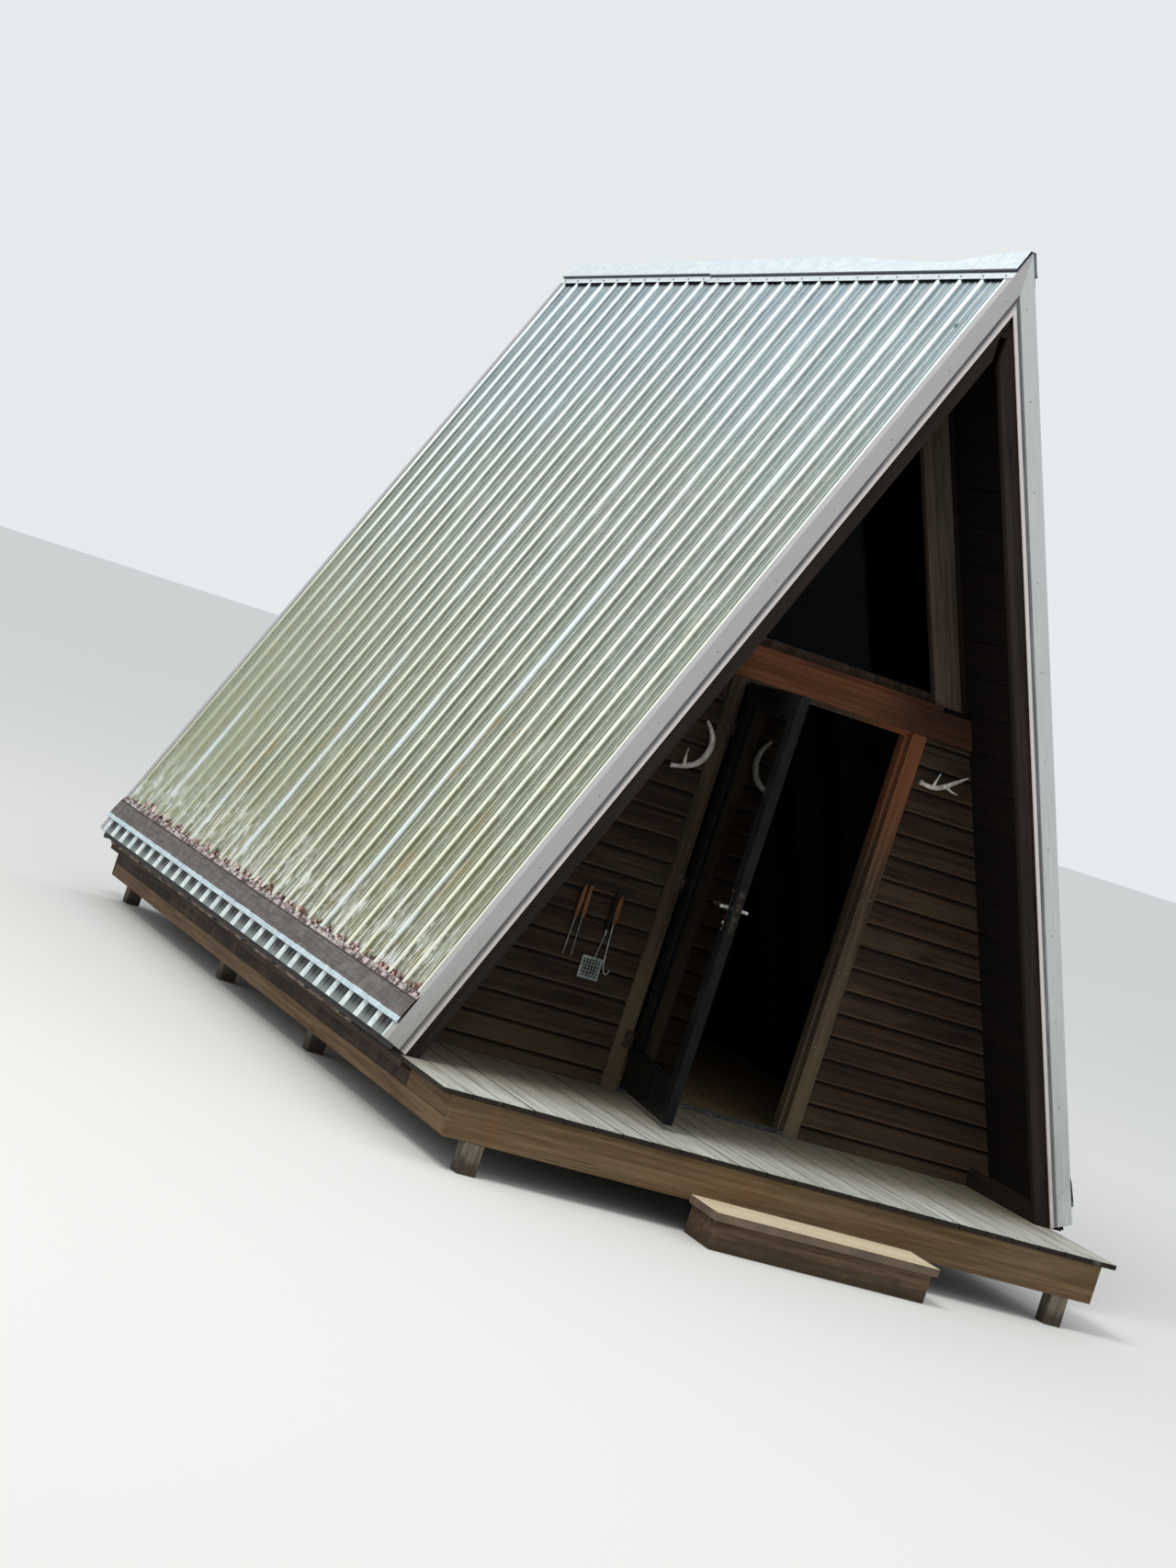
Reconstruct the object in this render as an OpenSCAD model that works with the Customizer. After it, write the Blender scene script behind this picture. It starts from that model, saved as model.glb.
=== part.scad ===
// A-frame camping cabin: a steep ribbed-metal roof standing on a low timber platform, with an
// open porch in front of a lap-sided gable wall, a glazed door and a glazed gable.
// X runs to the right seen from the front, Y to the back, Z up. Zero is on the ground, under
// the middle of the whole footprint.

/* [Roof] */
// Width of the roof at deck level, over the crests of the ribs
base_w = 3670; // [3000:10:4400]
// Height of the ridge above the deck, on the line of the crests
peak_h = 4300; // [3600:10:5000]
// Length of the roof from front rake to rear rake
roof_l = 6100; // [4800:10:7200]
// Height of the lower edge of the sheets above the deck
eave_up = 48; // [20:1:80]
// Thickness of the roof boards under the sheets
sheathing_t = 28; // [15:1:40]

/* [Ribbed sheets] */
// Height of a rib
rib_h = 19; // [12:0.5:30]
// Distance from rib to rib
rib_pitch = 228.6; // [150:0.1:305]
// Width of a rib at its crest
rib_crest = 16; // [10:1:30]
// Width of a rib at its foot
rib_foot = 46; // [36:1:70]
// Height of the two small ribs between one rib and the next
small_rib_h = 4; // [2:0.5:6]
// Width of a small rib at its foot
small_rib_foot = 22; // [14:1:30]
// Thickness of the sheet metal
sheet_t = 1.2; // [0.8:0.1:2]
// Distance from the ridge line to the top end of a sheet
sheet_start = 62; // [55:1:90]

/* [Rafters] */
// Thickness of a rafter
rafter_t = 38; // [30:1:50]
// Depth of a rafter
rafter_d = 140; // [110:1:180]
// Distance from the roof's ends to the outer rafters
rafter_inset = 20; // [15:1:40]
// Number of rafter spaces in the cabin
cabin_bays = 8; // [6:1:14]
// Distance from the rear rake to the back of the rear gable's framing
rear_out = 380; // [300:10:600]
// Height of the plates that stand on the deck in the porch
porch_plate_h = 89; // [60:1:100]
// Depth of the ridge board
ridge_board_d = 235; // [180:1:300]

/* [Metal trim] */
// Thickness of the folded trim
trim_t = 1.2; // [0.8:0.1:2]
// Depth of the trim on the faces of the rakes
rake_face = 115; // [95:1:135]
// Width of the trim that lies on the sheets along the rakes
rake_top = 60; // [40:1:90]
// Depth of the groove along the face of the rake trim
rake_groove = 10; // [5:1:15]
// Width of the groove
groove_w = 23; // [15:1:30]
// Height of the groove above the lower edge of the rake trim
groove_up = 17; // [10:1:30]
// Width of the hem turned in along that edge
rake_hem = 8; // [5:1:15]
// Height of the foot of the rake trim above the deck
trim_up = 3; // [2:1:40]
// Length of the ridge cap's flat leg, down to its step
cap_leg = 98; // [80:1:120]
// Length of the ridge cap's lower leg, below its step
cap_lip = 46; // [30:1:60]
// Height of the step between the two legs
cap_step = 13; // [4:1:16]
// Width of the ridge cap's flattened crown
cap_crown = 25; // [20:1:60]
// Length of the lip that hangs below the lower edge of the roof boards
drip_lip = 22; // [15:1:40]
// Share of the ridge that the front length of cap covers
cap_split = 0.58; // [0.4:0.01:0.7]
// Overlap of the two lengths of ridge cap
cap_lap = 120; // [60:5:200]

/* [Eave strips] */
// Distance from the sheet's lower edge up to the strip that lies across the ribs
strip_up = 85; // [60:1:160]
// Width of the strip
strip_w = 165; // [120:1:200]
// Width of the flange along its upper edge
strip_flange = 38; // [20:1:60]
// Width of the lip along its lower edge
strip_lip = 46; // [20:1:60]
// How far the middle of the strip stands out from the flange
strip_rise = 8; // [4:1:12]
// How far the lip stands out from the middle of the strip
lip_rise = 4; // [2:1:8]
// Distance from the roof's ends to the strip's ends
strip_in = 4; // [2:1:40]

/* [Platform] */
// Height of the deck above the ground
deck_h = 350; // [280:5:600]
// How far the roof's lower edges overhang the sides of the deck
deck_in = 110; // [80:1:200]
// How far the deck reaches in front of the roof
deck_out = 616; // [300:2:900]
// Thickness of the deck boards and the cabin floor
deck_t = 25; // [20:1:40]
// Number of deck boards
deck_boards = 24; // [18:1:30]
// Gap between deck boards
deck_gap = 4.5; // [3:0.5:8]
// How far the deck boards overhang the front rim
deck_lip = 20; // [10:1:40]
// How far the deck overhangs the rims at its sides
side_lip = 65; // [55:1:90]
// Thickness of the rims and joists
joist_t = 38; // [30:1:50]
// Depth of the rims and joists
joist_d = 184; // [140:1:240]
// Height of the lower of the two boards in each side rim
rim_low = 78; // [50:1:90]
// Height of the strips under the deck's side edges
ledger_h = 30; // [20:1:60]
// Distance from the deck's side edge in to the strip under it
ledger_in = 8; // [4:1:30]
// Number of joists between the end rims
joists = 10; // [10:1:14]
// Width of a pier
pier_w = 89; // [70:1:140]
// Distance from the platform's side faces in to the middles of the outer piers
pier_in = 160; // [60:5:360]

/* [Step] */
// Width of the step
step_w = 1130; // [800:10:1600]
// Depth of the step's tread
step_d = 302; // [260:2:400]
// Drop from the deck to the step
step_drop = 180; // [150:1:200]
// Thickness of the tread
tread_t = 38; // [30:1:50]
// How far the tread overhangs the boards under it
tread_lip = 20; // [10:1:40]

/* [Gable wall] */
// Distance from the front rake back to the wall's framing
porch_d = 783; // [700:1:900]
// Thickness of the wall's framing
wall_t = 89; // [80:1:120]
// Height of a siding course
siding_pitch = 116; // [90:1:150]
// Height of the lowest siding joint above the deck
siding_first = 73; // [40:1:110]
// Thickness of a siding board at its lower edge
siding_t = 19; // [14:1:25]
// Thickness of a siding board at its upper edge
siding_thin = 7; // [4:1:12]
// Distance from the top of the door leaf up to the header beam
header_gap = 18; // [8:1:80]
// Height of the header beam
header_h = 140; // [110:1:190]
// Thickness of the header beam
header_t = 38; // [30:1:60]
// Thickness of the board that lies on the header
gable_sill_t = 25; // [18:1:40]
// How far that board stands out from the header
sill_lip = 8; // [0:1:20]
// Width of the bars that frame the gable glass
gable_bar = 45; // [35:1:60]
// Width of the boards that run up the gables beside the slopes
gable_trim_w = 140; // [110:1:170]
// Thickness of the boards that run up the gables
gable_trim_t = 22; // [15:1:30]
// Width of glass frame left showing beside the gable boards
trim_reveal = 6; // [3:1:12]
// Thickness of window and door glass
glass_t = 6; // [4:1:12]

/* [Door] */
// Width of the door leaf
leaf_w = 914; // [760:1:930]
// Height of the door leaf
leaf_h = 2026; // [1980:1:2030]
// Thickness of the door leaf
leaf_t = 45; // [38:1:55]
// Distance from the cabin's middle to the middle of the door
door_x = 106; // [-100:1:150]
// Clearance round the door leaf
door_gap = 6; // [5:0.5:8]
// Thickness of the threshold
threshold_t = 20; // [15:1:25]
// Thickness of the door jambs
jamb_t = 30; // [20:1:40]
// Width of the casings
casing_w = 80; // [70:1:100]
// How far the jambs and casings stand out from the framing
casing_t = 25; // [22:1:35]
// Width of the leaf's side stiles
stile_w = 108; // [90:1:150]
// Height of the leaf's bottom rail
bottom_rail = 190; // [150:1:260]
// Depth of the groove that holds the door's glass
rebate = 12; // [8:1:20]
// Width of the stops that the leaf shuts against
stop_w = 14; // [10:1:20]
// Angle at which the door stands open
door_open = 99; // [92:1:104]
// Radius of the hinge knuckles
knuckle_r = 6; // [5:0.5:8]
// Number of hinges
hinges = 3; // [2:1:4]
// Height of a hinge
hinge_h = 90; // [75:5:110]
// Distance from the ends of the leaf to the nearest hinges
hinge_end = 180; // [120:5:260]
// Thickness of a hinge plate
plate_t = 2.5; // [1.5:0.5:3]
// Width of a hinge plate
plate_w = 38; // [25:1:38]

/* [Door handle] */
// Height of the lever above the deck
handle_z = 1040; // [950:5:1100]
// Distance from the leaf's free edge to the middle of the handle
backset = 60; // [50:1:75]
// Width of the handle's back plate
handle_plate_w = 34; // [28:1:45]
// Height of the back plate
handle_plate_h = 200; // [150:5:250]
// Height of the lever above the foot of the back plate
lever_up = 110; // [90:5:130]
// Thickness of the back plate
handle_plate_t = 7; // [3:1:10]
// Length of the lever
lever_l = 125; // [100:5:140]
// Radius of the lever
lever_r = 8; // [6:0.5:10]
// How far the lever stands out from the leaf
lever_out = 48; // [40:1:60]
// Radius of the lock
lock_r = 11; // [8:0.5:14]
// Distance from the lever down to the lock
lock_drop = 72; // [60:1:85]

/* [Hidden] */

galvanised = [0.72, 0.75, 0.76];
old_trim = [0.62, 0.62, 0.64];
deck_grey = [0.55, 0.53, 0.48];
treated = [0.56, 0.47, 0.34];
brown_wood = [0.32, 0.26, 0.21];
red_wood = [0.42, 0.27, 0.2];
header_wood = [0.6, 0.38, 0.25];
dark_metal = [0.16, 0.17, 0.17];

// Hairlines between pieces that lie flat on one another
fit = 0.3;
seam = 0.1;
// Gap between the hinge knuckles and the casing
pin_gap = 1;
// Reach of a cutting shape past what it cuts
cut = 1;
lean = atan(base_w / 2 / peak_h);
ridge_z = deck_h + peak_h;
slope_l = (peak_h - eave_up) / cos(lean);
trim_l = (peak_h - trim_up - rake_face * sin(lean)) / cos(lean);
// Depths below the crests of the ribs, measured square to the roof
board_depth = rib_h + seam;
boards_low = board_depth + sheathing_t;
rafter_top = boards_low + seam;
rafter_low = rafter_top + rafter_d;
inside = rafter_low + seam;
// The model's middle lies half way between the step's front and the rear rake
reach = deck_out - deck_lip + step_d;
rake_y = (reach - roof_l) / 2;
rear_y = rake_y + roof_l;
wall_y = rake_y + porch_d;
first_rafter = rake_y + rafter_inset;
last_rafter = rear_y - rafter_inset - rafter_t;
rear_wall_y = rear_y - rear_out - rafter_t;
cabin_pitch = (rear_wall_y - wall_y) / cabin_bays;
rafter_ys = concat(
    [first_rafter],
    [for (i = [0:cabin_bays]) wall_y + i * cabin_pitch],
    [last_rafter]
);
deck_w = base_w - 2 * deck_in;
rim_x = deck_w / 2 - side_lip;
pier_x = rim_x - pier_in;
rim_front = rake_y - deck_out + deck_lip;
floor_end = rear_y - rafter_inset;
rim_z = deck_h - deck_t - joist_d;
// Notch that clears the ridge board where it passes through a gable
notch_x = rafter_t / 2 + seam;
notch_z = roof_z(rafter_t / 2, rafter_top) - ridge_board_d - seam;
header_z = deck_h + threshold_t + door_gap + leaf_h + header_gap;
header_top = header_z + header_h;
glass_z = header_top + gable_sill_t;
open_w = leaf_w + 2 * door_gap;
open_left = door_x - open_w / 2;
open_right = door_x + open_w / 2;
leaf_z = deck_h + threshold_t + door_gap;
head_z = leaf_z + leaf_h + door_gap;
jamb_front = wall_y - casing_t;
pin_x = open_left + door_gap / 2;
pin_y = jamb_front - knuckle_r - pin_gap;
step_z = deck_h - step_drop;
light_w = leaf_w - 2 * stile_w;
light_h = leaf_h - stile_w - bottom_rail;

// Point in the XZ plane, on the right-hand slope, from the distance down from the ridge line
// and the depth below the crests
function on_roof(down, depth) = [
    down * sin(lean) - depth * cos(lean),
    ridge_z - down * cos(lean) - depth * sin(lean)
];

// Half width of the roof at a height, at a depth below the crests
function half_w(z, depth) = (ridge_z - z) * tan(lean) - depth / cos(lean);

// Height at which a depth below the crests meets a distance from the middle
function roof_z(x, depth) = ridge_z - (x + depth / cos(lean)) / tan(lean);

// Middle of a joist, counted from the front rim
function joist_y(i) =
    let (first = rim_front + joist_t)
    first + i * (floor_end - joist_t - first) / (joists + 1);

// Foot of a hinge above the leaf's lower edge
function hinge_z(i) = hinge_end + i * (leaf_h - 2 * hinge_end - hinge_h) / (hinges - 1);

// Extrudes an XZ outline along Y
module along_y(y, len) {
    translate([0, y + len, 0])
        rotate([90, 0, 0])
            linear_extrude(len)
                children();
}

// Extrudes a YZ outline along X
module along_x(x, len) {
    translate([x, 0, 0])
        rotate([90, 0, 90])
            linear_extrude(len)
                children();
}

// The children on the right, or mirrored onto the left
module on_side(side) {
    if (side > 0) children();
    if (side < 0) mirror([1, 0, 0]) children();
}

// Frame of the right-hand slope: X runs down it from the ridge line and Z stands out of it,
// with zero on the crests of the ribs
module on_slope() {
    translate([0, 0, ridge_z])
        rotate([0, 90 - lean, 0])
            children();
}

// Short posts that hold the platform off the ground
module piers() {
    third = round((joists + 1) / 3);
    rows = [rim_front + pier_w / 2, joist_y(third), joist_y(joists + 1 - third),
        floor_end - pier_w / 2];
    color(deck_grey)
        for (x = [-pier_x, 0, pier_x], y = rows)
            translate([x - pier_w / 2, y - pier_w / 2, 0])
                cube([pier_w, pier_w, rim_z]);
}

module end_rim(y) {
    translate([-rim_x, y, rim_z])
        cube([2 * rim_x, joist_t, joist_d]);
}

module front_rim() {
    color(treated) end_rim(rim_front);
}

module rear_rim() {
    color(brown_wood) end_rim(floor_end - joist_t);
}

// Each side rim is two boards, one over the other
module side_rims() {
    joint = 2;
    run = floor_end - rim_front - 2 * joist_t;
    color(treated)
        for (side = [-1, 1])
            on_side(side)
                translate([rim_x - joist_t, rim_front + joist_t, rim_z]) {
                    cube([joist_t, run, rim_low]);
                    translate([0, 0, rim_low + joint])
                        cube([joist_t, run, joist_d - rim_low - joint]);
                }
}

// Strips under the overhanging edges of the floor, outside the rims
module side_ledgers() {
    color(brown_wood)
        for (side = [-1, 1])
            on_side(side)
                translate([rim_x, rake_y, deck_h - deck_t - ledger_h])
                    cube([side_lip - ledger_in, floor_end - rake_y, ledger_h]);
}

module floor_joists() {
    color(treated)
        for (i = [1:joists])
            translate([-rim_x + joist_t, joist_y(i) - joist_t / 2, rim_z])
                cube([2 * (rim_x - joist_t), joist_t, joist_d]);
}

// Boards that run from the front edge back to the wall
module porch_deck() {
    pitch = (deck_w + deck_gap) / deck_boards;
    color(deck_grey)
        for (i = [0:deck_boards - 1])
            translate([-deck_w / 2 + i * pitch, rake_y - deck_out, deck_h - deck_t])
                cube([pitch - deck_gap, deck_out + porch_d, deck_t]);
}

module cabin_floor() {
    color(treated)
        translate([-deck_w / 2, wall_y, deck_h - deck_t])
            cube([deck_w, floor_end - wall_y, deck_t]);
}

// Open-backed box under the tread
module step_frame() {
    inner_w = step_w - 2 * tread_lip;
    color(brown_wood)
        translate([door_x - inner_w / 2, rim_front - step_d + tread_lip, 0])
            difference() {
                cube([inner_w, step_d - tread_lip, step_z - tread_t]);
                translate([tread_t, tread_t, -cut])
                    cube([inner_w - 2 * tread_t, step_d, step_z]);
            }
}

module step_tread() {
    color(treated)
        translate([door_x - step_w / 2, rim_front - step_d, step_z - tread_t])
            cube([step_w, step_d, tread_t]);
}

module ridge_board() {
    color(brown_wood)
        translate([-rafter_t / 2, first_rafter, notch_z + seam])
            cube([rafter_t, last_rafter + rafter_t - first_rafter, ridge_board_d]);
}

// Rafters with a plumb cut at the ridge board and a level cut on the deck
module rafters(side) {
    x = rafter_t / 2;
    color(brown_wood)
        on_side(side)
            for (y = rafter_ys)
                along_y(y, rafter_t)
                    polygon([
                        [x, roof_z(x, rafter_top)],
                        [half_w(deck_h, rafter_top), deck_h],
                        [half_w(deck_h, rafter_low), deck_h],
                        [x, roof_z(x, rafter_low)]
                    ]);
}

module rafters_left() {
    rafters(-1);
}

module rafters_right() {
    rafters(1);
}

module sheathing(side) {
    color(brown_wood)
        on_side(side)
            along_y(rake_y + trim_t, roof_l - 2 * trim_t)
                polygon([
                    [0, roof_z(0, board_depth)],
                    on_roof(slope_l, board_depth),
                    on_roof(slope_l, boards_low),
                    [0, roof_z(0, boards_low)]
                ]);
}

module sheathing_left() {
    sheathing(-1);
}

module sheathing_right() {
    sheathing(1);
}

// Outline of a rib, from its middle, foot, crest and height
function rib_points(y, foot, crest, h) = [
    [y - foot / 2, -rib_h],
    [y - crest / 2, h - rib_h],
    [y + crest / 2, h - rib_h],
    [y + foot / 2, -rib_h]
];

// Lower face of the whole sheet, from front to rear. The last rib ends before the rake.
function sheet_face() =
    let (
        run = roof_l - 2 * trim_t,
        count = floor((run - rib_foot) / rib_pitch),
        start = (run - count * rib_pitch) / 2,
        small = [for (i = [0:count - 1], part = [1, 2]) start + (i + part / 3) * rib_pitch]
    )
    concat(
        [[0, -rib_h]],
        [for (i = [0:count]) each concat(
            rib_points(start + i * rib_pitch, rib_foot, rib_crest, rib_h - sheet_t),
            i == count ? [] : [for (part = [0, 1]) each
                rib_points(small[2 * i + part], small_rib_foot, small_rib_foot / 2, small_rib_h)]
        )],
        [[run, -rib_h]]
    );

module roof_sheet(side) {
    under = sheet_face();
    over = [for (i = [len(under) - 1:-1:0]) under[i] + [0, sheet_t]];
    color(galvanised)
        on_side(side)
            translate([0, rake_y + trim_t, 0])
                on_slope()
                    along_x(sheet_start, slope_l - sheet_start)
                        polygon(concat(under, over));
}

module roof_sheet_left() {
    roof_sheet(-1);
}

module roof_sheet_right() {
    roof_sheet(1);
}

// Half outline of the ridge cap at a height over the crests: from the edge of its flattened crown
// down a leg, a square step and a lower leg
function cap_half(lift) =
    let (
        rise = lift + cap_step,
        step_x = cap_leg + lift,
        crown_z = roof_z(cap_crown / 2, -cap_step) + lift
    )
    [
        [half_w(crown_z, -rise), crown_z],
        on_roof(step_x, -rise),
        on_roof(step_x, -lift),
        on_roof(cap_leg + cap_lip, -lift)
    ];

module ridge_cap(y, len, lift) {
    outer = cap_half(lift + trim_t);
    inner = cap_half(lift);
    last = len(outer) - 1;
    color(galvanised)
        along_y(y, len)
            polygon(concat(
                outer,
                [for (i = [last:-1:0]) inner[i]],
                [for (i = [0:last]) [-inner[i][0], inner[i][1]]],
                [for (i = [last:-1:0]) [-outer[i][0], outer[i][1]]]
            ));
}

module ridge_cap_front() {
    ridge_cap(rake_y, roof_l * cap_split + cap_lap, 2 * (trim_t + fit));
}

module ridge_cap_rear() {
    ridge_cap(rake_y + roof_l * cap_split, roof_l * (1 - cap_split), trim_t + fit);
}

// Folded angle along a rake: one flange on the crests and a grooved face over the roof's end
module rake_trim(side, rear) {
    low = groove_up - rake_face;
    mid = low + groove_w / 2;
    top = low + groove_w;
    past = 10;
    outer = [
        [rake_top, trim_t], [0, trim_t], [0, top], [rake_groove, mid],
        [0, low], [0, -rake_face], [rake_hem, -rake_face]
    ];
    inner = [
        [rake_hem, trim_t - rake_face], [trim_t, trim_t - rake_face], [trim_t, low],
        [rake_groove + trim_t, mid], [trim_t, top], [trim_t, 0], [rake_top, 0]
    ];
    color(old_trim)
        on_side(side)
            translate([0, rear ? rear_y : rake_y, 0])
                mirror([0, rear ? 1 : 0, 0])
                    intersection() {
                        on_slope()
                            along_x(-past, trim_l + past)
                                polygon(concat(outer, inner));
                        translate([fit / 2, -past, 0])
                            cube([base_w, 2 * rake_top, 2 * ridge_z]);
                    }
}

module rake_trims_front() {
    for (side = [-1, 1]) rake_trim(side, false);
}

module rake_trims_rear() {
    for (side = [-1, 1]) rake_trim(side, true);
}

// Folded strip that lies across the ribs just above the eave and catches leaves. It steps out
// twice on its way down, and its lower edge turns back onto the ribs.
module eave_strip(side) {
    low_x = slope_l - strip_up;
    flange_x = low_x - strip_w + strip_flange;
    lip_x = low_x - strip_lip;
    seat = trim_t + fit;
    mid = seat + strip_rise;
    lip = mid + lip_rise;
    under = [
        [low_x - strip_w, seat], [flange_x, seat], [flange_x + strip_rise, mid],
        [lip_x, mid], [lip_x + lip_rise, lip]
    ];
    last = len(under) - 1;
    color(old_trim)
        on_side(side)
            on_slope()
                along_y(rake_y + strip_in, roof_l - 2 * strip_in)
                    polygon(concat(
                        under,
                        [[low_x - trim_t, lip], [low_x - trim_t, seat]],
                        [[low_x, seat], [low_x, lip + trim_t]],
                        [for (i = [last:-1:0]) under[i] + [0, trim_t]]
                    ));
}

module eave_strips() {
    for (side = [-1, 1]) eave_strip(side);
}

// Plates on the deck between the front rafters and the wall, under the slope on each side
module porch_plates() {
    x0 = half_w(deck_h, rafter_low);
    y0 = first_rafter + rafter_t;
    color(brown_wood)
        for (side = [-1, 1])
            on_side(side)
                translate([x0, y0, deck_h])
                    cube([rafter_t, wall_y - siding_t - fit - y0, porch_plate_h]);
}

// Folded strip over the lower edge of the roof boards, with a lip that hangs below it
module eave_drip(side) {
    x = slope_l + seam;
    color(old_trim)
        on_side(side)
            on_slope()
                along_y(rake_y + 2 * trim_t, roof_l - 4 * trim_t)
                    polygon([
                        [x, -board_depth],
                        [x + trim_t, -board_depth],
                        [x + trim_t, trim_t - boards_low],
                        [x + drip_lip, trim_t - boards_low],
                        [x + drip_lip, -boards_low],
                        [x, -boards_low]
                    ]);
}

module eave_drips() {
    for (side = [-1, 1]) eave_drip(side);
}

// Framed wall between the wall's rafters and the doorway
module front_wall(side, edge) {
    z1 = head_z + jamb_t;
    color(brown_wood)
        along_y(wall_y, wall_t)
            polygon([
                [edge, deck_h],
                [side * half_w(deck_h, inside), deck_h],
                [side * half_w(z1, inside), z1],
                [edge, z1]
            ]);
}

module front_wall_left() {
    front_wall(-1, open_left - jamb_t);
}

module front_wall_right() {
    front_wall(1, open_right + jamb_t);
}

// Framing over the doorway, up to the glass
module front_wall_top() {
    z0 = head_z + jamb_t;
    color(brown_wood)
        along_y(wall_y, wall_t)
            polygon([
                [-half_w(z0, inside), z0],
                [half_w(z0, inside), z0],
                [half_w(header_top, inside), header_top],
                [-half_w(header_top, inside), header_top]
            ]);
}

// Lap siding from the deck to a height, each course thin at its upper edge
module courses(top) {
    count = ceil((top - deck_h) / siding_pitch) + 1;
    faces = [for (i = [0:count])
        let (z = deck_h + siding_first + (i - 1) * siding_pitch)
        each [[-siding_t, z], [-siding_thin, z + siding_pitch]]];
    along_x(-base_w / 2, base_w)
        polygon(concat([[0, faces[0][1]]], faces, [[0, faces[len(faces) - 1][1]]]));
}

module siding_panel(outline, y, top, rear) {
    color(red_wood)
        translate([0, y, 0])
            mirror([0, rear ? 1 : 0, 0])
                intersection() {
                    courses(top);
                    along_y(-2 * siding_t, 4 * siding_t) polygon(outline);
                }
}

module front_siding(side, edge) {
    z1 = header_z;
    siding_panel([
        [edge, deck_h],
        [side * half_w(deck_h, rafter_top), deck_h],
        [side * half_w(z1, rafter_top), z1],
        [edge, z1]
    ], wall_y, z1, false);
}

module front_siding_left() {
    front_siding(-1, open_left - casing_w - fit);
}

module front_siding_right() {
    front_siding(1, open_right + casing_w + fit);
}

// Beam across the whole gable, over the door
module header_beam() {
    z0 = header_z;
    color(header_wood)
        along_y(wall_y - header_t, header_t)
            polygon([
                [-half_w(z0, rafter_top), z0],
                [half_w(z0, rafter_top), z0],
                [half_w(header_top, rafter_top), header_top],
                [-half_w(header_top, rafter_top), header_top]
            ]);
}

// Board that lies on the header, under the glass
module gable_sill() {
    x0 = half_w(glass_z, inside);
    out = header_t + sill_lip;
    color(header_wood)
        translate([-x0, wall_y - out, header_top])
            cube([2 * x0, out + wall_t, gable_sill_t]);
}

// Triangle inside the wall's rafters at a distance in from them
module gable_outline(inset) {
    z0 = glass_z + inset;
    x0 = half_w(z0, inside + inset);
    polygon([[-x0, z0], [x0, z0], [0, roof_z(0, inside + inset)]]);
}

module gable_frame() {
    color(brown_wood)
        along_y(wall_y, rafter_t)
            difference() {
                gable_outline(0);
                gable_outline(gable_bar);
            }
}

module gable_glass() {
    color([0.3, 0.36, 0.4, 0.5])
        along_y(wall_y + rafter_t / 2 - glass_t / 2, glass_t)
            gable_outline(gable_bar);
}

// Flat boards beside the doorway
module door_casings() {
    color(red_wood)
        for (x = [open_left - casing_w, open_right])
            translate([x, jamb_front, deck_h])
                cube([casing_w, casing_t, header_z - deck_h]);
}

// Jambs, head and the stops that the leaf shuts against
module door_frame() {
    open_h = head_z - deck_h;
    stop_y = jamb_front + leaf_t + door_gap;
    color(brown_wood)
        difference() {
            translate([open_left - jamb_t, wall_y, deck_h])
                cube([open_w + 2 * jamb_t, wall_t, open_h + jamb_t]);
            translate([open_left, wall_y - cut, deck_h - cut])
                cube([open_w, stop_y - wall_y + cut, open_h + cut]);
            translate([open_left + stop_w, wall_y, deck_h - cut])
                cube([open_w - 2 * stop_w, wall_t + cut, open_h - stop_w + cut]);
        }
}

module threshold() {
    color(dark_metal)
        translate([open_left, jamb_front, deck_h])
            cube([open_w, leaf_t + door_gap, threshold_t]);
}

// Pair of flat boards that run up a gable beside the slopes, with a plumb cut at the middle
module sloping_boards(y, depth, z) {
    low = depth + gable_trim_w;
    color(brown_wood)
        for (side = [-1, 1])
            on_side(side)
                along_y(y, gable_trim_t)
                    polygon([
                        [half_w(z, depth), z],
                        [half_w(z, low), z],
                        [fit / 2, roof_z(fit / 2, low)],
                        [fit / 2, notch_z],
                        [notch_x, notch_z],
                        [notch_x, roof_z(notch_x, depth)]
                    ]);
}

module gable_trims() {
    depth = inside + gable_bar - trim_reveal - gable_trim_w;
    sloping_boards(wall_y - gable_trim_t, depth, glass_z + seam);
}

module rear_trims() {
    sloping_boards(rear_wall_y + rafter_t + siding_t + seam, rafter_top + seam, deck_h);
}

module rear_wall() {
    y = rear_wall_y + rafter_t - wall_t;
    color(brown_wood)
        along_y(y, wall_t)
            polygon([
                [-half_w(deck_h, inside), deck_h],
                [half_w(deck_h, inside), deck_h],
                [0, roof_z(0, inside)]
            ]);
}

module rear_siding() {
    top = roof_z(notch_x, rafter_top);
    siding_panel([
        [-half_w(deck_h, rafter_top), deck_h],
        [half_w(deck_h, rafter_top), deck_h],
        [notch_x, top],
        [notch_x, notch_z],
        [-notch_x, notch_z],
        [-notch_x, top]
    ], rear_wall_y + rafter_t, top, true);
}

// Frame of the door: X runs along the leaf from the hinge pin and Y through it, turned to the
// angle at which the door stands open
module on_door() {
    translate([pin_x, pin_y, leaf_z])
        rotate([0, 0, -door_open])
            translate([door_gap / 2, jamb_front - pin_y, 0])
                children();
}

// The door's pane, which reaches into the grooves of its frame
module door_pane() {
    translate([stile_w - rebate, leaf_t / 2 - glass_t / 2, bottom_rail - rebate])
        cube([light_w + 2 * rebate, glass_t, light_h + 2 * rebate]);
}

module door_leaf() {
    color(dark_metal)
        on_door()
            difference() {
                cube([leaf_w, leaf_t, leaf_h]);
                translate([stile_w, -cut, bottom_rail])
                    cube([light_w, leaf_t + 2 * cut, light_h]);
                door_pane();
                for (i = [0:hinges - 1])
                    translate([-cut, -cut, hinge_z(i)])
                        cube([cut + plate_t, cut + plate_w + pin_y - jamb_front, hinge_h]);
            }
}

module door_glass() {
    color([0.2, 0.24, 0.26, 0.5])
        on_door()
            door_pane();
}

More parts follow.
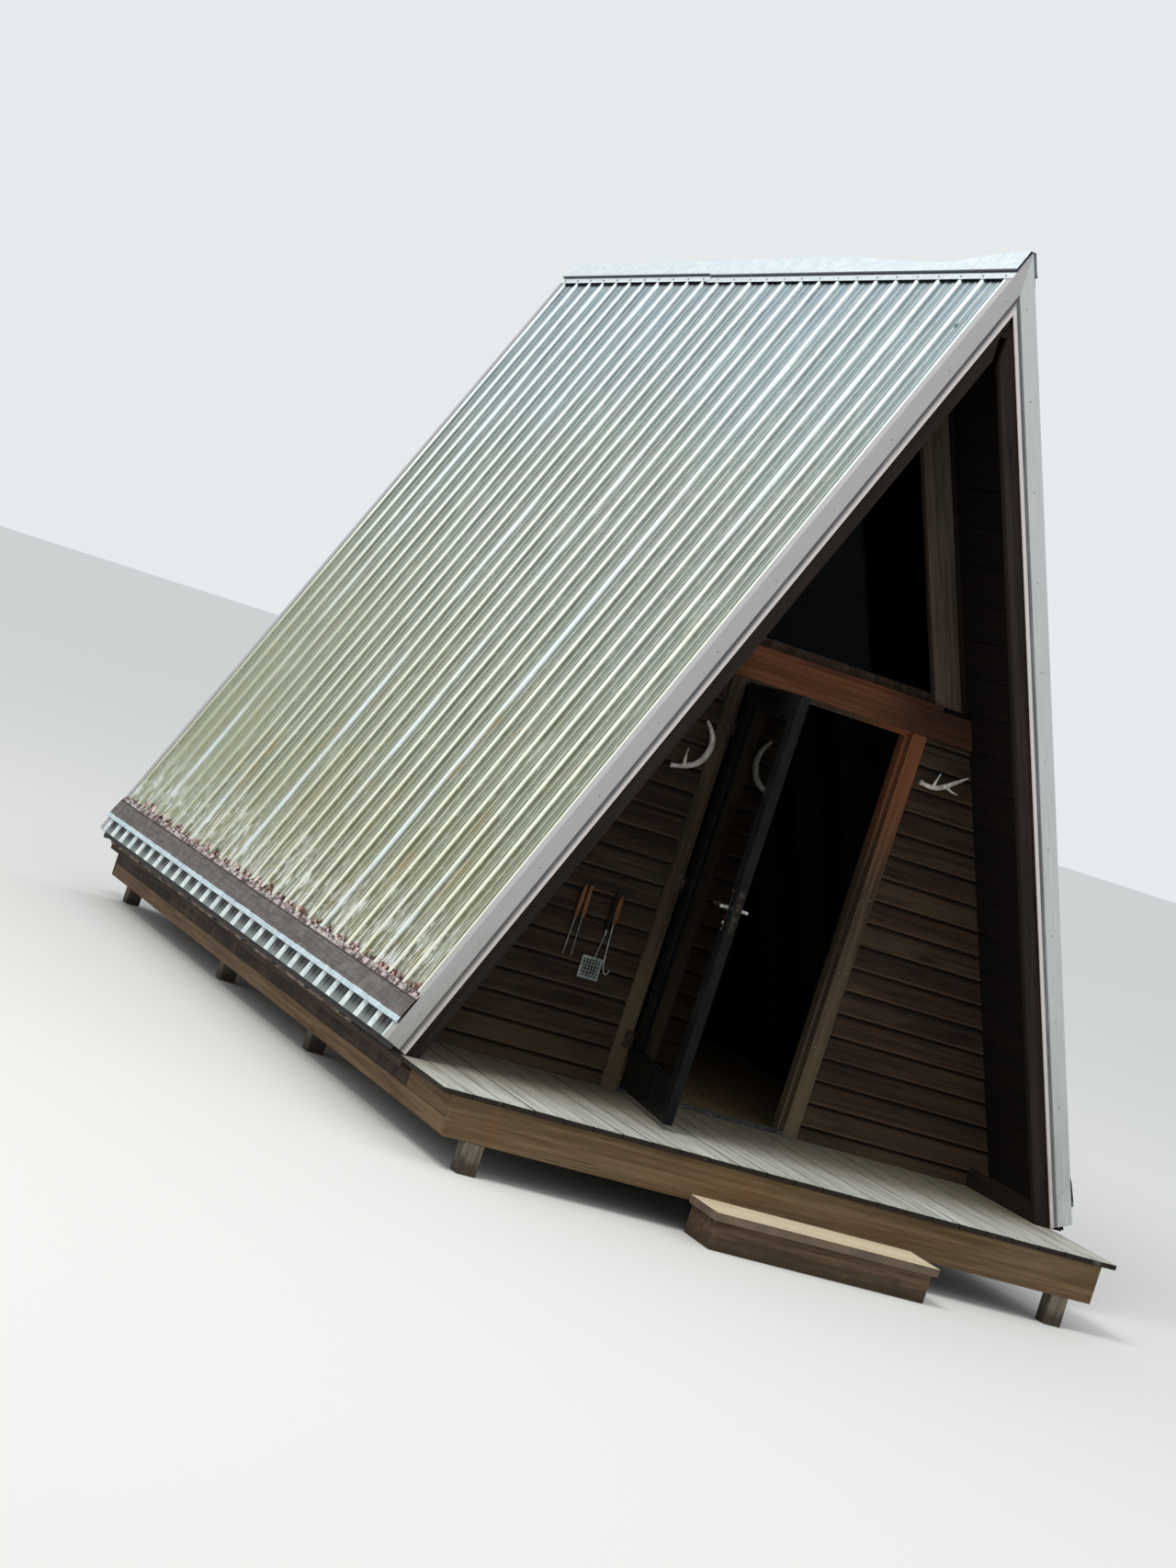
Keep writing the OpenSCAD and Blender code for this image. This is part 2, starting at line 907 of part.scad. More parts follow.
// Round bar that stands out of the leaf's face
module boss(r, out) {
    rotate([90, 0, 0])
        cylinder(r = r, h = out, $fn = 32);
}

// Back plate, lever and lock, on both faces of the leaf
module door_handle() {
    neck_r = lever_r + 1;
    lock_out = handle_plate_t + 4;
    color("silver")
        on_door()
            for (face = [0, 1])
                translate([leaf_w - backset, face * leaf_t, handle_z + deck_h - leaf_z])
                    mirror([0, face, 0]) {
                        translate([-handle_plate_w / 2, -handle_plate_t, -lever_up])
                            cube([handle_plate_w, handle_plate_t, handle_plate_h]);
                        boss(neck_r, lever_out);
                        translate([0, 0, -lock_drop])
                            boss(lock_r, lock_out);
                        translate([neck_r, neck_r - lever_out, 0])
                            rotate([0, -90, 0])
                                cylinder(r = lever_r, h = lever_l, $fn = 32);
                    }
}

// Outer knuckles on the pin line, each with its plate let into the leaf's edge
module door_hinges() {
    knuckle_h = hinge_h / 3 - fit;
    color("silver")
        on_door()
            for (i = [0:hinges - 1])
                translate([0, pin_y - jamb_front, hinge_z(i)]) {
                    for (z = [0, hinge_h - knuckle_h])
                        translate([0, 0, z]) {
                            translate([-door_gap / 2, 0, 0])
                                cylinder(r = knuckle_r, h = knuckle_h, $fn = 32);
                            cube([plate_t, plate_w, knuckle_h]);
                        }
                    translate([0, jamb_front - pin_y, 0])
                        cube([plate_t, plate_w - jamb_front + pin_y, hinge_h]);
                }
}

// Middle knuckles, each with its plate on the face of the casing
module casing_hinges() {
    third = hinge_h / 3;
    plate_y = jamb_front - pin_y - plate_t;
    clear = 2;
    color("silver")
        for (i = [0:hinges - 1])
            translate([pin_x, pin_y, leaf_z + hinge_z(i)]) {
                translate([0, 0, third])
                    cylinder(r = knuckle_r, h = third, $fn = 32);
                translate([-knuckle_r, 0, third])
                    cube([knuckle_r, jamb_front - pin_y, third]);
                translate([-knuckle_r - clear, plate_y, third])
                    cube([knuckle_r + clear, plate_t, third]);
                translate([-knuckle_r - plate_w, plate_y, 0])
                    cube([plate_w - clear, plate_t, hinge_h]);
            }
}

piers();
front_rim();
rear_rim();
side_rims();
side_ledgers();
floor_joists();
porch_deck();
cabin_floor();
step_frame();
step_tread();
porch_plates();
ridge_board();
rafters_left();
rafters_right();
sheathing_left();
sheathing_right();
roof_sheet_left();
roof_sheet_right();
ridge_cap_front();
ridge_cap_rear();
rake_trims_front();
rake_trims_rear();
eave_strips();
eave_drips();
front_wall_left();
front_wall_right();
front_wall_top();
front_siding_left();
front_siding_right();
header_beam();
gable_sill();
gable_frame();
gable_glass();
gable_trims();
door_casings();
door_frame();
threshold();
casing_hinges();
rear_wall();
rear_siding();
rear_trims();
door_leaf();
door_glass();
door_handle();
door_hinges();
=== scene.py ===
import math
import random

import bmesh
import bpy
from mathutils import Matrix, Vector, noise


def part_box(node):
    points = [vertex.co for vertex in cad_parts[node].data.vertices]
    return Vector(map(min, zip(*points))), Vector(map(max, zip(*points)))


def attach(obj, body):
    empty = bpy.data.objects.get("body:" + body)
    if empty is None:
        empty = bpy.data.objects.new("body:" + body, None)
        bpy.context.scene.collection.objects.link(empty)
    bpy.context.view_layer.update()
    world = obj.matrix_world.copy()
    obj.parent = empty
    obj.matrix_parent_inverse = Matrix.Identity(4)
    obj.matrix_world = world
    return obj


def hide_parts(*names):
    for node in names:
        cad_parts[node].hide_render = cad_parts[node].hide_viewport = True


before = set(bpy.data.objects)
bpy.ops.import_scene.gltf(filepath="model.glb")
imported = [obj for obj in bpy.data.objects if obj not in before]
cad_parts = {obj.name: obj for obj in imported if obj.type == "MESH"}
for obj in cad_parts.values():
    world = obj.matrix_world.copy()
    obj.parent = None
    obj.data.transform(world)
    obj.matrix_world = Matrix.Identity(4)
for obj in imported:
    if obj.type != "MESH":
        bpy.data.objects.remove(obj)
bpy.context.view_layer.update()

chance = random.Random(31)


# Camera and studio
# The camera stands where the photographer stood, in front of the cabin and to its left, and is held
# askew. The floor is plain and pale, and the light comes from a soft sky and one large soft lamp.
stand = Vector((-6.597, -15.796, 2.131))
look_at = Vector((-0.048, 0.458, 1.639))
askew = math.radians(17.97)
lens = 73.56

camera = bpy.data.objects.new("camera", bpy.data.cameras.new("camera"))
camera.data.sensor_width = 36
camera.data.lens = lens
facing = (look_at - stand).to_track_quat("-Z", "Y").to_matrix()
camera.matrix_world = Matrix.Translation(stand) @ (facing @ Matrix.Rotation(askew, 3, "Z")).to_4x4()
bpy.context.scene.collection.objects.link(camera)
bpy.context.scene.camera = camera
bpy.context.scene.view_settings.view_transform = "Standard"

sky = bpy.data.worlds.new("sky")
sky.use_nodes = True
sky.node_tree.nodes["Background"].inputs["Color"].default_value = (0.93, 0.97, 1.0, 1)
sky.node_tree.nodes["Background"].inputs["Strength"].default_value = 0.85
bpy.context.scene.world = sky

lamp = bpy.data.objects.new("lamp", bpy.data.lights.new("lamp", "AREA"))
lamp.data.shape = "DISK"
lamp.data.size = 7
lamp.data.energy = 1300
lamp.data.color = (1.0, 0.97, 0.92)
lamp.location = (-9, -6, 15)
lamp.rotation_euler = (Vector((0, 0, 2)) - lamp.location).to_track_quat("-Z", "Y").to_euler()
bpy.context.scene.collection.objects.link(lamp)


def tint(red, green, blue):
    """A colour as a paint chart gives it, 0 to 255, in the light that a material works in."""
    steps = [c / 255 for c in (red, green, blue)]
    return tuple(s / 12.92 if s <= 0.04045 else ((s + 0.055) / 1.055) ** 2.4 for s in steps) + (1,)


class Finish:
    """A surface finish, whose patterns are laid out in metres on the piece itself."""

    def __init__(self, name, roughness=0.8, metallic=0.0):
        self.material = bpy.data.materials.new(name)
        self.material.use_nodes = True
        self.tree = self.material.node_tree
        self.shader = self.tree.nodes["Principled BSDF"]
        self.shader.inputs["Roughness"].default_value = roughness
        self.shader.inputs["Metallic"].default_value = metallic
        self.place = self.node("TexCoord").outputs["Object"]

    def node(self, kind, **settings):
        node = self.tree.nodes.new("ShaderNode" + kind)
        for key, value in settings.items():
            setattr(node, key, value)
        return node

    def feed(self, socket, value):
        """Links a pattern to a socket, or sets a plain value on it."""
        if isinstance(value, bpy.types.NodeSocket):
            self.tree.links.new(value, socket)
        elif value is not None:
            socket.default_value = value

    def laid(self, turn, stretch, shift):
        """The piece's own metres, turned, then shifted by a pattern and stretched."""
        turned = self.node("Mapping")
        self.feed(turned.inputs["Vector"], self.place)
        turned.inputs["Rotation"].default_value = turn
        moved = self.node("VectorMath", operation="ADD")
        self.feed(moved.inputs[0], turned.outputs[0])
        self.feed(moved.inputs[1], shift)
        return self.stretched(moved.outputs[0], stretch)

    def stretched(self, place, stretch):
        scaled = self.node("VectorMath", operation="MULTIPLY")
        self.feed(scaled.inputs[0], place)
        scaled.inputs[1].default_value = stretch
        return scaled.outputs[0]

    def cloud(self, place, scale=1.0, detail=4.0, roughness=0.55, distortion=0.0, stretch=None):
        """A soft, irregular pattern, drawn out along the ways in which the stretch is small."""
        if stretch is not None:
            place = self.stretched(place, stretch)
        node = self.node("TexNoise")
        self.feed(node.inputs["Vector"], place)
        node.inputs["Scale"].default_value = scale
        node.inputs["Detail"].default_value = detail
        node.inputs["Roughness"].default_value = roughness
        node.inputs["Distortion"].default_value = distortion
        return node.outputs["Fac"]

    def spots(self, place, wanted="Distance"):
        """Scattered spots: how far a place is from the nearest, or a number of that spot's own."""
        node = self.node("TexVoronoi")
        self.feed(node.inputs["Vector"], place)
        node.inputs["Scale"].default_value = 1.0
        return node.outputs[wanted]

    def level(self, value, low, high, at_low=0.0, at_high=1.0):
        """Value stretched so that low gives at_low and high gives at_high, with soft ends."""
        node = self.node("MapRange", interpolation_type="SMOOTHSTEP")
        for socket, number in zip(node.inputs, (value, low, high, at_low, at_high)):
            self.feed(socket, number)
        return node.outputs[0]

    def band(self, value, start, full, fading, gone):
        """One where a value is from full to fading, and nought below start and above gone."""
        return self.times(self.level(value, start, full), self.level(value, gone, fading))

    def calc(self, kind, first, second=None):
        node = self.node("Math", operation=kind)
        self.feed(node.inputs[0], first)
        self.feed(node.inputs[1], second)
        return node.outputs[0]

    def times(self, first, second):
        return self.calc("MULTIPLY", first, second)

    def plus(self, first, second):
        return self.calc("ADD", first, second)

    def less(self, first, second):
        return self.calc("SUBTRACT", first, second)

    def mix(self, amount, first, second):
        """The first colour, with an amount of the second. Colours are at 6 and 7 on this node."""
        node = self.node("Mix", data_type="RGBA", blend_type="MIX")
        self.feed(node.inputs[0], amount)
        self.feed(node.inputs[6], first)
        self.feed(node.inputs[7], second)
        return node.outputs[2]

    def coat(self, under, over, pattern, low, high, most=1.0):
        """One colour over another: none where the pattern is low, and the most where it is high."""
        return self.mix(self.level(pattern, low, high, 0, most), under, over)

    def join(self, across, along, up):
        """A place, from how far it is along X, Y and Z."""
        node = self.node("CombineXYZ")
        for socket, value in zip(node.inputs, (across, along, up)):
            self.feed(socket, value)
        return node.outputs[0]

    def split(self, place):
        node = self.node("SeparateXYZ")
        self.feed(node.inputs[0], place)
        return node.outputs

    def faces(self):
        """The way that the surface faces, along X, Y and Z."""
        return self.split(self.node("NewGeometry").outputs["True Normal"])

    def mark(self, name):
        """What a piece's own attribute says."""
        return self.node("Attribute", attribute_name=name).outputs["Fac"]

    def show(self, colour, roughness=None, height=None, depth=0.001):
        """Puts the colour on the surface, with its own roughness and relief where they are given."""
        self.feed(self.shader.inputs["Base Color"], colour)
        self.feed(self.shader.inputs["Roughness"], roughness)
        if height is not None:
            bump = self.node("Bump")
            bump.inputs["Distance"].default_value = depth
            self.feed(bump.inputs["Height"], height)
            self.feed(self.shader.inputs["Normal"], bump.outputs[0])
        return self.material


def fix(name, bm, finish, slot, *nodes, body="cabin"):
    """Makes a piece of a mesh and fixes it to its body, in place of the solids that are named."""
    mesh = bpy.data.meshes.new(name)
    bm.to_mesh(mesh)
    bm.free()
    mesh.materials.append(finish)
    piece = bpy.data.objects.new(name, mesh)
    bpy.context.scene.collection.objects.link(piece)
    if body is None:
        return piece
    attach(piece, body)
    if nodes:
        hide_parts(*nodes)
    return piece


floor_paint = Finish("floor_paint", roughness=0.9)
floor_paint.show(tint(226, 225, 222))
floor_bm = bmesh.new()
bmesh.ops.create_grid(floor_bm, size=250)
fix("floor", floor_bm, floor_paint.material, None, body=None)


# Piers
# Twelve short posts of rough timber, grey with age and stained by the soil. They stand on the ground
# under the rims and two of the joists.
ALONG_X = (0, 0, 0)
ALONG_Y = (0, 0, math.radians(-90))
ALONG_Z = (0, math.radians(90), 0)


def timber(name, grain, light, dark, worn=None, wear=0.35, knots=0.6, stain=None, mirrored=False):
    """Wood with its grain along one direction: fibres, growth lines, knots, checks and worn patches."""
    wood = Finish(name)
    wood.shader.inputs["Specular IOR Level"].default_value = 0.2
    if mirrored:
        across, along, up = wood.split(wood.place)
        wood.place = wood.join(wood.calc("ABSOLUTE", across), along, up)
    piece = wood.mark("board")
    shift = wood.join(*(wood.times(piece, apart) for apart in (7.0, 3.0, 5.0)))
    fibres = wood.cloud(wood.laid(grain, (1.6, 46, 46), shift), detail=7, roughness=0.62)
    hairs = wood.cloud(wood.laid(grain, (9, 420, 420), shift), detail=3)
    lines = wood.cloud(wood.laid(grain, (0.7, 17, 17), shift), detail=2, distortion=0.6)
    lines = wood.level(wood.calc("FRACT", wood.times(lines, 9.0)), 0.0, 0.85)
    patches = wood.cloud(wood.laid(grain, (1.1, 3.2, 3.2), shift), detail=5, roughness=0.6)
    colour = wood.coat(dark, light, fibres, 0.34, 0.68)
    colour = wood.mix(wood.times(lines, 0.3), colour, dark)
    colour = wood.coat(colour, light, hairs, 0.45, 0.75, 0.35)
    colour = wood.coat(colour, dark, piece, 0, 1, 0.3)
    if worn is not None:
        colour = wood.coat(colour, worn, patches, 0.46, 0.72, wear)
    if stain is not None:
        colour = stain(wood, colour)
    spots_at = wood.laid(grain, (1.5, 6.5, 6.5), shift)
    centre = wood.spots(spots_at)
    chosen = wood.level(wood.split(wood.spots(spots_at, wanted="Color"))[0], 0.62, 0.66)
    knot = wood.times(wood.level(centre, 0.11, 0.05), chosen)
    halo = wood.times(wood.level(centre, 0.24, 0.08), chosen)
    ring = tuple(c * 0.45 for c in dark[:3]) + (1,)
    colour = wood.mix(wood.times(halo, 0.35 * knots), colour, dark)
    colour = wood.mix(wood.times(knot, knots), colour, ring)
    checks = wood.cloud(wood.laid(grain, (1.3, 120, 120), shift), detail=2, roughness=0.4)
    split = wood.times(wood.level(checks, 0.67, 0.71), wood.level(patches, 0.5, 0.62))
    colour = wood.mix(wood.times(split, 0.75), colour, ring)
    height = wood.plus(fibres, wood.times(hairs, 0.6))
    height = wood.less(wood.less(height, wood.times(lines, 0.25)), split)
    dull = wood.level(fibres, 0.3, 0.7, 0.9, 0.74)
    return wood.show(colour, dull, height, 0.0016)


def board_marks(bm):
    """The mark on each corner of a mesh that tells one board from the next."""
    return bm.verts.layers.float.get("board") or bm.verts.layers.float.new("board")


def number_boards(bm):
    """Marks each separate board, so that its grain is its own."""
    board = board_marks(bm)
    seen = set()
    for first in bm.verts:
        if first in seen:
            continue
        seen.add(first)
        together = [first]
        for vert in together:
            for other in [edge.other_vert(vert) for edge in vert.link_edges]:
                if other not in seen:
                    seen.add(other)
                    together.append(other)
        tone = 0.02 + chance.random()
        for vert in together:
            vert[board] = tone


def ease_edges(bm, width=0.003, segments=2):
    """Takes the sharp edges off all that is in the mesh."""
    sharp = [e for e in bm.edges if len(e.link_faces) == 2 and e.calc_face_angle() > 0.15]
    bmesh.ops.bevel(bm, geom=sharp, offset=width, segments=segments, affect="EDGES", profile=0.5,
                    material=-1, clamp_overlap=True)


def cut_out(node):
    """The solid's own shape, its triangles merged into whole faces, for more work."""
    bm = bmesh.new()
    bm.from_mesh(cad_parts[node].data)
    bmesh.ops.remove_doubles(bm, verts=bm.verts, dist=0.00002)
    bmesh.ops.dissolve_limit(bm, angle_limit=0.01, verts=bm.verts, edges=bm.edges)
    number_boards(bm)
    return bm


ACROSS, AWAY, UP = (1, 0, 0), (0, 1, 0), (0, 0, 1)


def slice_up(bm, axis, low, high, step):
    """Cuts lines across a mesh, so that it can warp between them."""
    axis = Vector(axis)
    for number in range(1, math.ceil((high - low) / step)):
        bmesh.ops.bisect_plane(bm, geom=bm.verts[:] + bm.edges[:] + bm.faces[:],
                               plane_co=axis * (low + number * step), plane_no=axis)


def sway(bm, amount, period=0.9):
    """Moves every corner a little, so that nothing is quite straight."""
    for vert in bm.verts:
        vert.co += noise.noise_vector(vert.co / period) * amount


def earth_stain(wood, colour):
    """Brown with soil where the wood stands on the ground."""
    height = wood.split(wood.place)[2]
    reach = wood.plus(height, wood.times(wood.cloud(wood.place, 9, 5), -0.16))
    return wood.coat(colour, tint(58, 48, 38), reach, 0.02, -0.06, 0.85)


pier_wood = timber("pier_wood", ALONG_Z, tint(132, 122, 106), tint(80, 72, 62), tint(112, 106, 96),
                   stain=earth_stain)
pier_low, pier_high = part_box("piers")
bm = cut_out("piers")
slice_up(bm, UP, pier_low.z, pier_high.z, 0.05)
ease_edges(bm, 0.004)
sway(bm, 0.003, 0.12)
for vert in bm.verts:
    vert.co.z = min(max(vert.co.z, pier_low.z), pier_high.z)
fix("pier_posts", bm, pier_wood, "pier_wood", "piers")


# Rims and joists
# Treated boards on edge make the platform's frame, nailed at their ends. Each side has a board over
# a board, tan in front of the roof and dark brown under the eave, stained and with painted shade, with
# a strip outside it.
rim_low, rim_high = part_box("front_rim")
side_low, side_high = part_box("side_rims")
ledger_low, ledger_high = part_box("side_ledgers")
joist_low, joist_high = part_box("floor_joists")
board_t = rim_high.y - rim_low.y
rake_y = ledger_low.y


def eased(name, node, finish, slot, width=0.003, segments=2, cuts=None, warp=0.0):
    """A solid in its own shape with its edges eased, cut across first where it is to warp."""
    bm = cut_out(node)
    if cuts is not None:
        slice_up(bm, *cuts)
    sway(bm, warp)
    ease_edges(bm, width, segments)
    fix(name, bm, finish, slot, node)


def cut_board(bm, low, high):
    """A square-sawn board between two corners, marked so that its grain is its own."""
    board = board_marks(bm)
    made = bmesh.ops.create_cube(bm, size=1)["verts"]
    low, high = Vector(low), Vector(high)
    bmesh.ops.scale(bm, vec=high - low, verts=made)
    bmesh.ops.translate(bm, vec=(low + high) / 2, verts=made)
    tone = 0.02 + chance.random()
    for vert in made:
        vert[board] = tone
    return made


def heads(bm, places, out, radius=0.0045, proud=0.0012, sides=8):
    """Heads of nails or screws, driven in along a direction."""
    turn = Vector(out).to_track_quat("Z", "Y").to_matrix().to_4x4()
    for place in places:
        bmesh.ops.create_cone(bm, cap_ends=True, segments=sides, radius1=radius, radius2=radius * 0.7,
                              depth=proud * 2, matrix=Matrix.Translation(place) @ turn)


def rust_marks(wood, colour):
    """Reddish stain that runs down from the nails and the deck over the rim."""
    runs = wood.cloud(wood.place, detail=5, roughness=0.7, stretch=(11, 2, 1.2))
    colour = wood.coat(colour, tint(118, 74, 46), runs, 0.56, 0.74, 0.45)
    damp = wood.cloud(wood.place, detail=6, stretch=(3, 2, 5))
    return wood.coat(colour, tint(84, 78, 54), damp, 0.5, 0.7, 0.4)


rim_wood = timber("rim_wood", ALONG_X, tint(126, 103, 73), tint(84, 65, 44), tint(116, 104, 82),
                  knots=1.0, stain=rust_marks)
eased("front_rim_board", "front_rim", rim_wood, "rim_treated",
      cuts=(ACROSS, rim_low.x, rim_high.x, 0.3), warp=0.0015)
eased("joist_boards", "floor_joists", rim_wood, "rim_treated", 0.002, 1)

brown_edge = timber("brown_edge", ALONG_X, tint(70, 54, 42), tint(38, 29, 23), tint(62, 52, 44))
eased("rear_rim_board", "rear_rim", brown_edge, "frame_wood")

side_split = side_low.z + 0.079


def eave_stain_and_shade(wood, colour):
    """Dark brown stain and painted shade of the eave on the upper boards, from the front edge of the
    roof to the rear.
    """
    _, along, height = wood.split(wood.place)
    upper = wood.level(height, side_split - 0.0006, side_split + 0.0006)
    behind = wood.level(along, rake_y - 0.004, rake_y + 0.004)
    drips = wood.cloud(wood.place, detail=5, roughness=0.7, stretch=(4, 9, 1.5))
    # Painted shade of the eave, mixed with dark brown stain, on the upper boards behind the roof's
    # front edge
    shade = wood.coat(tint(40, 29, 24), tint(74, 55, 42), drips, 0.4, 0.7)
    colour = wood.mix(wood.times(upper, behind), colour, shade)
    return wood.coat(colour, tint(104, 84, 66), drips, 0.55, 0.72, 0.4)


side_wood = timber("side_wood", ALONG_Y, tint(118, 95, 68), tint(84, 64, 45), tint(108, 94, 74),
                   stain=eave_stain_and_shade)
eased("side_rim_boards", "side_rims", side_wood, "rim_treated", 0.0025,
      cuts=(AWAY, side_low.y, side_high.y, 0.4), warp=0.0012)

strip_wood = timber("strip_wood", ALONG_Y, tint(76, 58, 44), tint(40, 30, 24), tint(68, 58, 48))
eased("side_strips", "side_ledgers", strip_wood, "frame_wood", 0.0025,
      cuts=(AWAY, ledger_low.y, ledger_high.y, 0.4), warp=0.0012)

rusty = Finish("rusty_nails", roughness=0.7, metallic=0.6)
rust = rusty.cloud(rusty.place, 160, 3)
rusty.show(rusty.coat(tint(60, 46, 38), tint(112, 74, 50), rust, 0.35, 0.65))
bm = bmesh.new()
nail_in, nail_apart = 0.019, 0.062
rim_mid = (rim_low.z + rim_high.z) / 2
nail_xs = [rim_low.x + nail_in, rim_high.x - nail_in, -0.55, 0.62]
nail_zs = [rim_mid + up for up in (-nail_apart, 0.0, nail_apart)]
heads(bm, [(x, rim_low.y, z) for x in nail_xs for z in nail_zs], (0, -1, 0))
joist_count = 10
joist_step = (joist_high.y - joist_low.y - board_t) / (joist_count - 1)
joist_ys = [joist_low.y + board_t / 2 + i * joist_step for i in range(joist_count)]
side_nail_zs = [side_low.z + up for up in (0.03, 0.11, 0.16)]
for face_x, way in ((side_low.x, -1), (side_high.x, 1)):
    heads(bm, [(face_x, y, z) for y in joist_ys for z in side_nail_zs], (way, 0, 0))
fix("rim_nails", bm, rusty.material, "hardware")


# Deck
# Boards run from the front edge back to the wall with gaps between them, two screws at each joist.
# Their tops are bleached by the weather in front of the roof and brown under it, with painted shade
# there. Their sawn ends and sides are nearly black, dark end grain with painted shade.
deck_low, deck_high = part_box("porch_deck")
deck_count, deck_gap, deck_warp = 24, 0.0045, 0.0012
deck_pitch = (deck_high.x - deck_low.x + deck_gap) / deck_count


def bleach_and_shade(wood, colour):
    """Bleached in the open, brown with foot dirt and painted shade under the roof, and dark end grain
    with painted shade on the ends and sides.
    """
    along = wood.split(wood.place)[1]
    drift = wood.times(wood.cloud(wood.place, 3, 4), 0.5)
    # Painted shade under the roof, together with the sheltered boards' unbleached brown
    shelter_and_shade = wood.level(wood.plus(along, drift), rake_y - 0.25, rake_y + 0.6)
    colour = wood.mix(wood.times(shelter_and_shade, 0.85), colour, tint(110, 98, 76))
    dirt = wood.cloud(wood.place, detail=6, roughness=0.7, stretch=(8, 3, 8))
    colour = wood.coat(colour, tint(128, 124, 104), dirt, 0.54, 0.76, 0.5)
    specks = wood.cloud(wood.place, 70, 3, 0.7)
    colour = wood.coat(colour, tint(232, 230, 220), specks, 0.6, 0.75, 0.5)
    # Painted shade, with dark end grain, on every face that does not look up
    upwards = wood.level(wood.faces()[2], 0.35, 0.8)
    return wood.mix(upwards, tint(38, 32, 27), colour)


deck_wood = timber("deck_wood", ALONG_Y, tint(224, 226, 218), tint(156, 156, 146), tint(188, 192, 182),
                   knots=0.4, stain=bleach_and_shade)
bm = bmesh.new()
for number in range(deck_count):
    left = deck_low.x + number * deck_pitch
    narrower = chance.uniform(0, 0.0012)
    front = deck_low.y + chance.uniform(0, 0.004)
    cut_board(bm, (left + narrower, front, deck_low.z),
              (left + deck_pitch - deck_gap, deck_high.y, deck_high.z - chance.uniform(0, 0.0015)))
slice_up(bm, AWAY, deck_low.y, deck_high.y, 0.23)
for vert in bm.verts:
    own = round((vert.co.x - deck_low.x) // deck_pitch)
    vert.co.z += noise.noise(Vector((own * 3.7, vert.co.y * 2, 0))) * deck_warp - 0.0004
    vert.co.x += noise.noise(Vector((own * 1.9, vert.co.y * 1.4, 5))) * deck_warp
ease_edges(bm, 0.003)
fix("deck_planks", bm, deck_wood, "deck_boards", "porch_deck")

bm = bmesh.new()
deck_screw_out = 0.042
screw_ys = [rim_low.y + board_t / 2] + [y for y in joist_ys if y < deck_high.y]
for number in range(deck_count):
    middle = deck_low.x + (number + 0.5) * deck_pitch - deck_gap / 2
    for y in screw_ys:
        across = [middle + way * (deck_screw_out + chance.uniform(-0.006, 0.006)) for way in (-1, 1)]
        heads(bm, [(x, y + chance.uniform(-0.008, 0.008), deck_high.z - 0.0008) for x in across],
              (0, 0, 1), radius=0.004, proud=0.0008)
fix("deck_screws", bm, rusty.material, "hardware")


# Cabin floor
# Plain narrow boards inside, laid the same way as the deck and jointed tight.
inner_low, inner_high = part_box("cabin_floor")
floor_count = 36
floor_pitch = (inner_high.x - inner_low.x) / floor_count


def outer_edge(wood, colour):
    """The floor's outer edge, pale where the saw cut it and dirty below."""
    aside = wood.level(wood.calc("ABSOLUTE", wood.faces()[0]), 0.5, 0.9)
    spots = wood.cloud(wood.place, detail=5, stretch=(9, 9, 30))
    edge = wood.coat(tint(84, 68, 54), tint(150, 136, 118), spots, 0.4, 0.65)
    return wood.mix(aside, colour, edge)


floor_wood = timber("floor_wood", ALONG_Y, tint(150, 122, 88), tint(104, 80, 56), tint(116, 98, 76),
                    stain=outer_edge)
bm = bmesh.new()
for number in range(floor_count):
    left = inner_low.x + number * floor_pitch
    cut_board(bm, (left, inner_low.y, inner_low.z),
              (left + floor_pitch - 0.0004, inner_high.y, inner_high.z))
ease_edges(bm, 0.0018)
fix("floor_planks", bm, floor_wood, "floor_boards", "cabin_floor")


# Step
# A dry pale plank on a box of three brown boards, open at the back and nailed at its corners.
tread_low, tread_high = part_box("step_tread")
box_low, box_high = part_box("step_frame")


def dry_top(wood, colour):
    """Bleached on top, brown and dirty on its front and under it."""
    upwards = wood.level(wood.faces()[2], 0.3, 0.8)
    dirt = wood.cloud(wood.place, detail=6, stretch=(5, 9, 5))
    under = wood.coat(tint(96, 82, 70), tint(126, 108, 88), dirt, 0.4, 0.7)
    return wood.mix(upwards, under, colour)


tread_wood = timber("tread_wood", ALONG_X, tint(238, 226, 200), tint(200, 182, 150),
                    tint(214, 202, 176), knots=0.4, stain=dry_top)
bm = cut_out("step_tread")
slice_up(bm, ACROSS, tread_low.x, tread_high.x, 0.16)
slice_up(bm, AWAY, tread_low.y, tread_high.y, 0.06)
tread_mid = (tread_low.y + tread_high.y) / 2
cup_depth, worn_depth, worn_x, worn_reach = 0.001, 0.003, 0.1, 0.3
for vert in bm.verts:
    cup = ((vert.co.y - tread_mid) / (tread_high.y - tread_mid)) ** 2
    worn = math.exp(-((vert.co.x - worn_x) / worn_reach) ** 2) * worn_depth
    if vert.co.z > tread_high.z - 0.001:
        vert.co.z += cup * cup_depth - cup_depth - worn * (1 - cup)
ease_edges(bm, 0.004, 3)
fix("step_plank", bm, tread_wood, "rim_treated", "step_tread")

step_brown = timber("step_brown", ALONG_X, tint(116, 93, 70), tint(66, 50, 38), tint(106, 92, 70),
                    stain=earth_stain)
bm = bmesh.new()
cut_board(bm, box_low, (box_high.x, box_low.y + board_t, box_high.z))
for left in (box_low.x, box_high.x - board_t):
    cut_board(bm, (left, box_low.y + board_t + 0.0005, box_low.z),
              (left + board_t, box_high.y, box_high.z))
slice_up(bm, ACROSS, box_low.x, box_high.x, 0.2)
sway(bm, 0.001, 0.5)
for vert in bm.verts:
    vert.co.z = max(vert.co.z, box_low.z) if vert.co.z > 0.01 else box_low.z
ease_edges(bm, 0.003)
fix("step_boards", bm, step_brown, "frame_wood", "step_frame")

